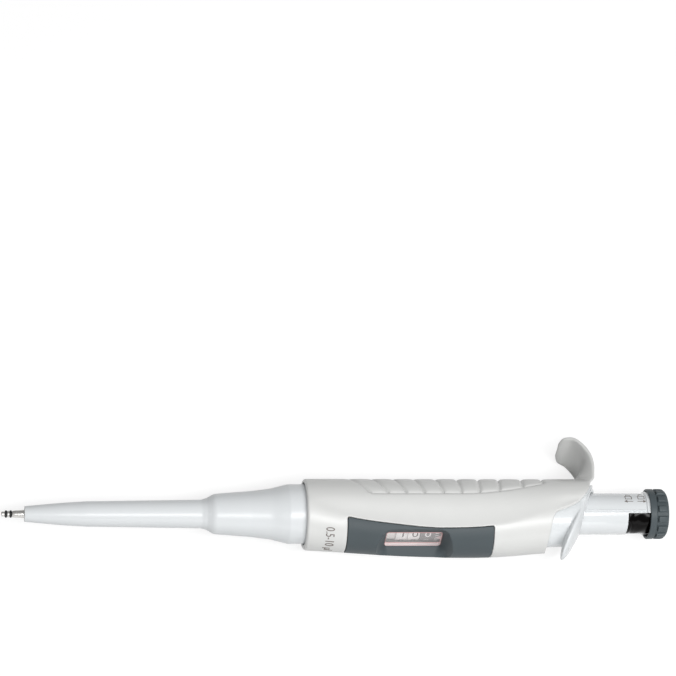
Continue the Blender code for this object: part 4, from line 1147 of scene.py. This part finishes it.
class PIPETTE_OT_drums(bpy.types.Operator):
    """Make the number drums, their digits and the scale on the tenths drum."""

    bl_idname = "pipette.drums"
    bl_label = "Number drums"

    def execute(self, context):
        look = context.scene.pipette_panel
        white = moulded("drum white", (0.90, 0.88, 0.87), 0.45)
        dark = moulded("drum dark", (0.20, 0.19, 0.19), 0.45)
        black_ink = moulded("drum black ink", (0.03, 0.025, 0.025), 0.5)
        white_ink = moulded("drum white ink", (0.90, 0.88, 0.87), 0.5)
        drums = (
            ("tens", 0, 1, white, black_ink, 0.0043),
            ("units", 1, 0, white, black_ink, 0.0043),
            ("tenths", 2, 0, dark, white_ink, 0.0028),
        )
        for name, number, shown, plastic, ink, bore in drums:
            low = DRUM_EDGES[number] + FINE_GAP
            high = DRUM_EDGES[number + 1] - FINE_GAP
            web = high - 0.0012
            rim = DRUM_R - DRUM_WALL
            hub = bore + DRUM_WALL
            outline = rounded([
                (high, bore + 0.0005, 0.0), (high, DRUM_R, 0.00015), (low, DRUM_R, 0.00015),
                (low, rim, 0.0), (web, rim, 0.0), (web, hub, 0.0), (low, hub, 0.0),
                (low, bore, 0.0), (high, bore, 0.0),
            ])
            drum = turned(name + "_drum", outline, 120)
            node_name = "drum_" + name
            finished(drum, name, plastic, [node_name])
            middle = low + (0.0024 if name == "tenths" else (high - low) / 2)
            digits = []
            for digit in range(10):
                glyph = lettering("digit", str(digit), look.digit_height, 0.00008)
                start = DIGIT_TURN - radians(36) * ((shown - digit) % 10)
                digits.append(wrapped(glyph, 1, on_round(middle + 0.0004, start, DRUM_R)))
            numbers = joined(name + "_digits", digits)
            finished(numbers, name, ink)
        start = DRUM_EDGES[3] - 0.0021
        half, thick = 0.00012, 0.00004
        tick = box(
            "tenths_scale",
            (start, -half, -DRUM_R - thick),
            (start + 0.0013, half, -DRUM_R + thick),
        )
        ticks = copied(tick, 50, radians(7.2), 0.0, white_ink)
        finished(ticks, "tenths", white_ink)
        return {"FINISHED"}


class PIPETTE_OT_sleeve(bpy.types.Operator):
    """Make the ejector sleeve with its soft shoulders."""

    bl_idname = "pipette.sleeve"
    bl_label = "Ejector sleeve"

    def execute(self, context):
        look = context.scene.pipette_white
        tip = NOZZLE_BARE
        outer = [
            (0.0000, 0.00285, 0.0004), (0.0129, 0.00402, 0.012), (0.0223, 0.00460, 0.04),
            (0.0642, 0.00522, 0.004), (0.0661, 0.00585, 0.003), (0.0687, 0.00735, 0.0045),
            (0.0818, 0.00835, 0.03), (0.0895, 0.00930, 0.02), (0.0929, 0.01020, 0.006),
            (0.0959, 0.01090, 0.004), (0.1057, 0.01090, 0.0003),
        ]
        corners = [(tip, 0.0022, 0.0)] + [(tip + x, r, c) for x, r, c in outer]
        corners += [(tip + x, r - 0.0010, 0.0) for x, r, c in reversed(outer[1:])]
        corners += [(tip, 0.00175, 0.0)]
        sleeve = turned("tip_sleeve", rounded(corners, 10), 128)
        white = moulded("white plastic", look.colour, 0.30, 0.03, 0.015)
        finished(sleeve, "ejector", white, ["ejector_sleeve"], 50)
        return {"FINISHED"}


class PIPETTE_OT_nozzle(bpy.types.Operator):
    """Make the steel nozzle and its two O-rings."""

    bl_idname = "pipette.nozzle"
    bl_label = "Nozzle"

    def execute(self, context):
        look = context.scene.pipette_nozzle
        groove, half = 0.00054, 0.00052
        slim, wide = 0.00093, 0.00118
        corners = [(0.0, 0.00060, 0.0), (0.0, 0.00083, 0.0), (0.0002, slim, 0.0002)]
        for place, radius in zip(RING_PLACES, (slim, wide)):
            steps = ((-half, radius), (-half, groove), (half, groove), (half, wide))
            corners += [(place + step, reach, 0.00008) for step, reach in steps]
        corners += [
            (0.0048, 0.0013, 0.0008), (0.0083, 0.0015, 0.004), (0.0208, 0.0015, 0.0002),
            (0.0208, 0.0022, 0.0002), (0.0308, 0.0022, 0.0002), (0.0308, 0.0008, 0.0),
            (0.0120, 0.0008, 0.0), (0.0114, 0.00025, 0.0), (0.0, 0.00025, 0.0),
        ]
        steel = machined("turned steel", (0.66, 0.65, 0.63), 0.36)
        nozzle = turned("steel_nozzle", rounded(corners), 64)
        finished(nozzle, "body", steel, ["nozzle"])
        rubber = moulded("black rubber", (0.012, 0.012, 0.013), 0.55, 0.15)
        values = {
            "Ring radius": 0.00138 - look.wire,
            "Wire radius": look.wire,
            "Material": rubber,
        }
        for number, place in enumerate(RING_PLACES, 1):
            values["Place"] = place
            name = f"nozzle_o_ring_{number}"
            ring = new_object(name + "_round", bpy.data.meshes.new(name))
            ring = grown(ring, ring_tree, "ring of wire", values)
            finished(ring, "body", rubber, [name])
        return {"FINISHED"}


class PIPETTE_OT_tube(bpy.types.Operator):
    """Make the operating tube with its window, ridges and signs, and the lock bush."""

    bl_idname = "pipette.tube"
    bl_label = "Operating tube"

    def execute(self, context):
        look = context.scene.pipette_white
        inner = TUBE_R - TUBE_WALL
        flare = TUBE_END - 0.0044
        flare_r = 0.0083
        corners = [
            (TUBE_END, 0.0073, 0.0), (TUBE_END, flare_r, 0.0003), (flare + 0.0003, flare_r, 0.0003),
            (flare, TUBE_R, 0.0003), (TUBE_X, TUBE_R, 0.0003), (TUBE_X, inner, 0.0003),
            (TUBE_END - 0.0020, inner, 0.001), (TUBE_END, 0.0073, 0.0),
        ]
        tube = turned("push_tube", rounded(corners)[:-1], 160)
        tube = combined(tube, [sector("tube_window", WINDOW_X, TUBE_END + PAST, inner / 2, 0.0100)])
        step = tube.modifiers.new("edge", "BEVEL")
        step.width = 0.00015
        step.segments = 2
        step.limit_method = "ANGLE"
        step.angle_limit = radians(50)
        tube = applied(tube)
        gloss = moulded("tube plastic", look.colour, 0.18, 0.02, 0.012, 0.5)
        finished(tube, "button", gloss, ["operating_tube"], 40)

        start = TUBE_X + 0.0010
        rings = []
        for x, rise in (
            (start, 0.0),
            (start + 0.0004, look.ridge_height),
            (flare - 0.0004, look.ridge_height),
            (flare, 0.0),
        ):
            half = [(0.00012, rise), (0.00026, 0.3 * rise), (0.00032, -0.0003)]
            ridge = [(-across, level) for across, level in reversed(half)] + half
            rings.append([(x, across, -TUBE_R - level) for across, level in ridge])
        pitch = 0.105
        first = WINDOW_HALF_ANGLE + 0.030
        for side, label in ((1, "upper"), (-1, "under")):
            ridges = copied(lofted(label + "_ridges", rings), 2, -side * pitch, -side * first, gloss)
            finished(ridges, "button", gloss)

        ink = moulded("sign ink", context.scene.pipette_shell.lettering, 0.55)
        for name, place, is_open in (("closed", CLOSED_SIGN_X, False), ("open", OPEN_SIGN_X, True)):
            sign = joined(name + "_lock_sign", lock_sign(is_open))
            sign = wrapped(sign, 1, on_round(place, SIGN_TURN, TUBE_R))
            finished(sign, "button", ink)

        black = moulded("black gloss", (0.0015, 0.001, 0.001), 0.16, 0.0, 0.3, 0.0, 0.12)
        bush_low = WINDOW_X + GAP - 0.0030
        bush_high = TUBE_END - 0.0016
        outer = inner - GAP
        bore = 0.0045
        corners = [
            (bush_high, bore, 0.0), (bush_high, outer, 0.0002), (bush_low, outer, 0.0002),
            (bush_low, bore, 0.0),
        ]
        bush = turned("black_bush", rounded(corners), 96)
        pad = bush_pad(WINDOW_X + GAP, bush_high - FINE_GAP, outer - 0.0005)
        bush = combined(bush, [pad], "UNION")
        finished(bush, "lock", black, ["lock_bush"], 40)
        return {"FINISHED"}


def sector(name, start, end, inner, outer):
    """Part of a thick tube on the display's side of the axis, as wide as the tube's window."""
    rings = []
    for i in range(41):
        angle = WINDOW_HALF_ANGLE * (i / 20 - 1)
        y, z = sin(angle), -cos(angle)
        rings.append([
            (start, inner * y, inner * z),
            (start, outer * y, outer * z),
            (end, outer * y, outer * z),
            (end, inner * y, inner * z),
        ])
    return lofted(name, rings)


def bush_pad(start, end, inner):
    """The part of the bush that fills the tube's window: a collar, a step and a wavy face."""
    half = WINDOW_HALF_ANGLE - radians(2.5)
    top = TUBE_R - 0.00035
    steps = 60
    levels = np.linspace(0.0, 1.0, 34)
    rings = []
    for i in range(steps + 1):
        angle = half * (2 * i / steps - 1)
        y, z = sin(angle), -cos(angle)
        ring = [(start, inner * y, inner * z)]
        for t in levels:
            x = start + (end - start) * t
            groove = 0.00030 * np.exp(-((t - 0.16) / 0.035) ** 2)
            wave = 0.00008 * sin(9.0 * t + 5.0 * angle) * eased(0.22, 0.35, t)
            edge = 0.00018 * (1 - eased(0.0, 0.05, t)) + 0.00018 * eased(0.95, 1.0, t)
            radius = top - 0.00013 - groove - wave - edge
            ring.append((x, radius * y, radius * z))
        ring.append((end, inner * y, inner * z))
        rings.append(ring)
    return lofted("bush_pad", rings)


def lock_sign(is_open):
    """A small padlock, open or closed, with an arrow under it, as flat thin solids."""
    thick = 0.00004
    line = 0.00024
    half, tall = 0.00130, 0.0016
    bow, leg = 0.00062, 0.0002
    foot = tall + line
    lift = 0.0005 if is_open else 0.0
    way = 1 if is_open else -1
    arrow = -0.0010
    tail, neck = sorted((-way * 0.0016, way * 0.0008))
    bars = [
        (-half, 0.0, half, line),
        (-half, tall, half, foot),
        (-half, line, -half + line, tall),
        (half - line, line, half, tall),
        (-bow - line, foot, -bow, foot + lift + leg),
        (tail, arrow - 0.00011, neck, arrow + 0.00011),
    ]
    if not is_open:
        bars.append((bow, foot, bow + line, foot + lift + leg))
    items = [box("bar", (x0, y0, -thick), (x1, y1, thick)) for x0, y0, x1, y1 in bars]
    rings = []
    for k in range(13):
        angle = pi * k / 12
        spots = ((bow, -thick), (bow, thick), (bow + line, thick), (bow + line, -thick))
        rings.append([
            (radius * cos(angle), foot + lift + leg + radius * sin(angle), level)
            for radius, level in spots
        ])
    items.append(lofted("shackle", rings))
    head = [(way * 0.0018, arrow), (way * 0.0006, arrow + 0.0006), (way * 0.0006, arrow - 0.0006)]
    items.append(prism("head", head, "z", -thick, thick))
    return items


class PIPETTE_OT_knob(bpy.types.Operator):
    """Make the volume knob with its raised grip pads."""

    bl_idname = "pipette.knob"
    bl_label = "Volume knob"

    def execute(self, context):
        look = context.scene.pipette_knob
        ground = KNOB_R - look.pad_rise
        lip_end = KNOB_RIM + 0.0023
        corners = [
            (KNOB_RIM, 0.0086, 0.0), (KNOB_RIM, KNOB_R, 0.0004), (lip_end, KNOB_R, 0.0002),
            (lip_end + 0.0004, ground, 0.0002), (KNOB_END, ground - 0.0002, 0.0009),
            (KNOB_END, 0.0074, 0.0012), (KNOB_END - 0.0004, 0.0060, 0.0020),
            (KNOB_END - 0.0008, 0.0, 0.0),
        ]
        inside = [
            (KNOB_FLOOR, 0.0, 0.0), (KNOB_FLOOR, 0.0045, 0.0), (KNOB_FLOOR, 0.0085, 0.0004),
            (KNOB_RIM, 0.0085, 0.0),
        ]
        cap = turned("turning_knob", rounded(corners) + rounded(inside), 140)
        top, stem_r, bore = KNOB_FLOOR + 0.0005, 0.0042, 0.0023
        stem = turned("knob_stem", [(top, stem_r), (STEM_X, stem_r), (STEM_X, bore), (top, bore)], 48)
        cap = combined(cap, [stem], "UNION")
        colour = context.scene.pipette_panel.colour
        slate = moulded("knob plastic", colour, 0.46, 0.10, 0.05, 0.0, 0.3)
        finished(cap, "knob", slate, ["volume_knob"], 40)

        pitch = 2 * pi / look.pads
        pad = knob_pad(lip_end + 0.0005, KNOB_END - 0.0002, ground - 0.0003, KNOB_R, pitch)
        pads = copied(pad, look.pads, pitch, radians(10), slate)
        finished(pads, "knob", slate, (), 60)
        return {"FINISHED"}


def knob_pad(start, end, low, top, pitch):
    """One raised grip pad, rounded at its edges and over the knob's end."""
    half = 0.33 * pitch
    across = 14
    rings = []
    for i in range(across + 1):
        share = 2 * i / across - 1
        angle = half * share
        edge = (1 - abs(share) ** 8) ** 0.5
        y, z = sin(angle), -cos(angle)
        ring = [(start, low * y, low * z)]
        for k in range(13):
            t = k / 12
            x = start + (end - start) * t
            close = min(t / 0.10, 1.0)
            far = min((1 - t) / 0.42, 1.0)
            rise = (top - low) * sqrt(1 - (1 - close) ** 2) * edge
            rise -= 0.0011 * (1 - sqrt(1 - (1 - far) ** 2))
            radius = low + max(rise, 0.00001 * (13 - k))
            ring.append((x, radius * y, radius * z))
        ring.append((end, (low - 0.0012) * y, (low - 0.0012) * z))
        rings.append(ring)
    return lofted("knob_pads", rings)


class PIPETTE_OT_plate(bpy.types.Operator):
    """Make the thumb plate and its collar."""

    bl_idname = "pipette.plate"
    bl_label = "Thumb plate"

    def execute(self, context):
        look = context.scene.pipette_white
        half_wide, half_long, thick = 0.0100, 0.0162, 0.0023
        rings = []
        for k in range(33):
            level = -cos(pi * k / 32)
            share = max(0.02, sqrt(max(0.0, 1 - level * level)))
            ring = []
            for i in range(96):
                angle = 2 * pi * i / 96
                u = share * half_wide * cos(angle)
                v = share * half_long * sin(angle)
                ring.append(plate_point(u, v, level * thick))
            rings.append(ring)
        plate = lofted("thumb_plate", rings)
        tab_half, tab_long = 0.0046, 0.0022
        turns = [2 * pi * i / 40 for i in range(40)]
        rings = []
        for w in np.linspace(-1, 1, 9):
            share = sqrt(max(0.0, 1 - abs(w) ** 3)) * 0.9 + 0.1
            rings.append([
                plate_point(
                    share * tab_half * cos(turn),
                    half_long - tab_long + share * tab_long * sin(turn),
                    0.0012 * w + 0.0002,
                )
                for turn in turns
            ])
        plate = combined(plate, [lofted("plate_tab", rings)], "UNION")
        bottom = FRONT_RIM - 0.0060
        wall = 0.0012
        inset = HOUSING_WALL + 0.0006
        stations = np.arange(bottom, HOUSING_END, 0.001)
        collar = lofted("plate_collar", [section(x, inset, 80) for x in stations])
        stations = np.arange(bottom + wall, HOUSING_END + PAST, 0.001)
        inner = [section(x, inset + wall, 80) for x in stations]
        size = 2 * half_long
        square = ((-size, -size), (size, -size), (size, size), (-size, size))
        above = [[plate_point(u, v, w) for u, v in square] for w in (0.0, size)]
        collar = combined(collar, [lofted("collar_hollow", inner), lofted("above_plate", above)])
        plate = combined(plate, [collar], "UNION")
        plate = combined(plate, [bored("plate_hole", bottom - PAST, 0.2300, 0.0082, 96)])
        plate = rebuilt(plate, PLATE_VOXEL, 4, None, 120000)
        plate.name = "thumb_plate"
        white = moulded("plate plastic", look.colour, 0.28, 0.02, 0.015, 0.2)
        finished(plate, "ejector", white, ["ejector_plate"], 180)
        return {"FINISHED"}


def plate_point(u, v, w):
    """A point of the thumb plate: u across, v along it towards the hook, w through it."""
    return (
        PLATE_X + v * sin(PLATE_TILT) + w * cos(PLATE_TILT),
        u,
        PLATE_OFFSET + v * cos(PLATE_TILT) - w * sin(PLATE_TILT),
    )


class PIPETTE_OT_inner(bpy.types.Operator):
    """Give the pieces inside their materials."""

    bl_idname = "pipette.inner"
    bl_label = "Inner pieces"

    def execute(self, context):
        steel = machined("spring steel", (0.58, 0.58, 0.58), 0.28)
        brass = machined("turned brass", (0.72, 0.50, 0.22), 0.30)
        plain = moulded("inner plastic", (0.42, 0.43, 0.44), 0.5)
        pale = moulded("seal plastic", (0.80, 0.80, 0.78), 0.4)
        rubber = moulded("seal rubber", (0.015, 0.015, 0.016), 0.6, 0.15)
        spacer = moulded("spacer plastic", (0.80, 0.775, 0.76), 0.45)
        finishes = {
            steel: (
                "return_spring", "blowout_spring", "seal_spring", "ejector_spring", "volume_spindle",
                "piston_rod", "piston", "seal_retainer",
            ),
            brass: ("barrel_nut", "stop_ring", "seal_plug"),
            plain: (
                "lower_barrel", "nut_guide", "button_core", "upper_guide", "ejector_rod",
                "ejector_coupler", "spring_seat", "counter_carrier",
            ),
            pale: ("piston_seal", "volume_nut"),
            rubber: ("seal_o_ring",),
            spacer: ("counter_spacer",),
        }
        for material, names in finishes.items():
            for name in names:
                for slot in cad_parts[name].material_slots:
                    slot.material = material
        return {"FINISHED"}


class PIPETTE_OT_stage(bpy.types.Operator):
    """Make the floor, the lamps and the camera."""

    bl_idname = "pipette.stage"
    bl_label = "Stage"

    def execute(self, context):
        look = context.scene.pipette_stage
        corners = [(-3, -3, 0), (3, -3, 0), (3, 3, 0), (-3, 3, 0)]
        floor = new_object("floor", mesh_of("floor", corners, [(0, 1, 2, 3)]))
        floor.data.materials.append(floor_finish())
        world = bpy.data.worlds.new("studio")
        context.scene.world = world
        world.use_nodes = True
        tree = world.node_tree
        white = (1.0, 1.0, 1.0, 1.0)
        sky = tree.nodes["Background"]
        feed(tree, sky, {"Color": white, "Strength": look.sky})
        plain = node(tree, "ShaderNodeBackground", {"Color": white, "Strength": 1.0})
        choice = node(tree, "ShaderNodeMixShader", {
            "Fac": node(tree, "ShaderNodeLightPath")["Is Camera Ray"],
            1: sky.outputs["Background"],
            2: plain["Background"],
        })
        feed(tree, tree.nodes["World Output"], {"Surface": choice["Shader"]})
        softbox("key_lamp", (0.22, -0.46, 0.78), (0.03, 0.0, 0.01), (0.9, 0.22), look.key_power)
        softbox("low_lamp", (0.0, -0.75, 0.10), (0.0, 0.0, 0.01), (1.0, 0.25), look.low_power)
        softbox("fill_lamp", (0.20, 0.45, 0.75), (0.02, 0.0, 0.01), (0.8, 0.8), look.fill_power)
        set_camera(context)
        context.scene.view_settings.view_transform = "Standard"
        return {"FINISHED"}


def softbox(name, place, target, size, power):
    """A rectangular lamp that points at a target."""
    lamp = bpy.data.lights.new(name, "AREA")
    lamp.shape = "RECTANGLE"
    lamp.size, lamp.size_y = size
    lamp.energy = power
    item = bpy.data.objects.new(name, lamp)
    item.visible_camera = False
    bpy.context.scene.collection.objects.link(item)
    way = Vector(target) - Vector(place)
    item.matrix_world = Matrix.Translation(place) @ way.to_track_quat("-Z", "Y").to_matrix().to_4x4()


def set_camera(context):
    """A long lens from in front and above, turned a little towards the nozzle's end."""
    yaw = CAMERA_YAW
    lift = CAMERA_ROLL - BACK_FLAT / 2
    target = PLACE @ Vector((CAMERA_X, 0.0, 0.0))
    out = Vector((-sin(yaw), -sin(lift) * cos(yaw), cos(lift) * cos(yaw)))
    spot = target + CAMERA_AWAY * out
    ahead = -out
    right = Vector((1.0, 0.0, 0.0))
    right = (right - ahead * right.dot(ahead)).normalized()
    above = right.cross(ahead)
    dip = atan2(AXIS_ROW - PHOTO_SIZE / 2, FOCAL_PIXELS)
    forward = cos(dip) * ahead + sin(dip) * above
    upward = right.cross(forward)
    data = bpy.data.cameras.new("camera")
    data.sensor_width = 36.0
    data.lens = data.sensor_width * FOCAL_PIXELS / PHOTO_SIZE
    data.clip_start = 0.01
    camera = bpy.data.objects.new("camera", data)
    context.scene.collection.objects.link(camera)
    turn = Matrix((right, upward, -forward)).transposed().to_4x4()
    camera.matrix_world = Matrix.Translation(spot) @ turn
    context.scene.camera = camera


class PIPETTE_PT_pieces(bpy.types.Panel):
    """Lists the pieces of the pipette."""

    bl_label = "Micropipette"
    bl_idname = "PIPETTE_PT_pieces"
    bl_space_type = "VIEW_3D"
    bl_region_type = "UI"
    bl_category = "Micropipette"

    def draw(self, context):
        for group in GROUPS:
            looks = getattr(context.scene, group)
            for key in looks.bl_rna.properties.keys():
                if key not in ("rna_type", "name"):
                    self.layout.prop(looks, key)
        for operator in OPERATORS:
            self.layout.operator(operator.bl_idname)


GROUPS = {
    "pipette_shell": ShellLook,
    "pipette_panel": PanelLook,
    "pipette_white": WhiteLook,
    "pipette_knob": KnobLook,
    "pipette_nozzle": NozzleLook,
    "pipette_stage": StageLook,
}
OPERATORS = (
    PIPETTE_OT_stage,
    PIPETTE_OT_inner,
    PIPETTE_OT_housing,
    PIPETTE_OT_panel,
    PIPETTE_OT_drums,
    PIPETTE_OT_sleeve,
    PIPETTE_OT_nozzle,
    PIPETTE_OT_tube,
    PIPETTE_OT_knob,
    PIPETTE_OT_plate,
)


def register():
    """Register the groups, the operators and the panel."""
    for name, group in GROUPS.items():
        bpy.utils.register_class(group)
        setattr(bpy.types.Scene, name, bpy.props.PointerProperty(type=group))
    for operator in OPERATORS:
        bpy.utils.register_class(operator)
    bpy.utils.register_class(PIPETTE_PT_pieces)


def unregister():
    """Remove the panel, the operators and the groups."""
    bpy.utils.unregister_class(PIPETTE_PT_pieces)
    for operator in reversed(OPERATORS):
        bpy.utils.unregister_class(operator)
    for name, group in reversed(list(GROUPS.items())):
        delattr(bpy.types.Scene, name)
        bpy.utils.unregister_class(group)


def main():
    """Make every piece."""
    register()
    for operator in OPERATORS:
        group, name = operator.bl_idname.split(".")
        getattr(getattr(bpy.ops, group), name)()


if __name__ == "__main__":
    main()
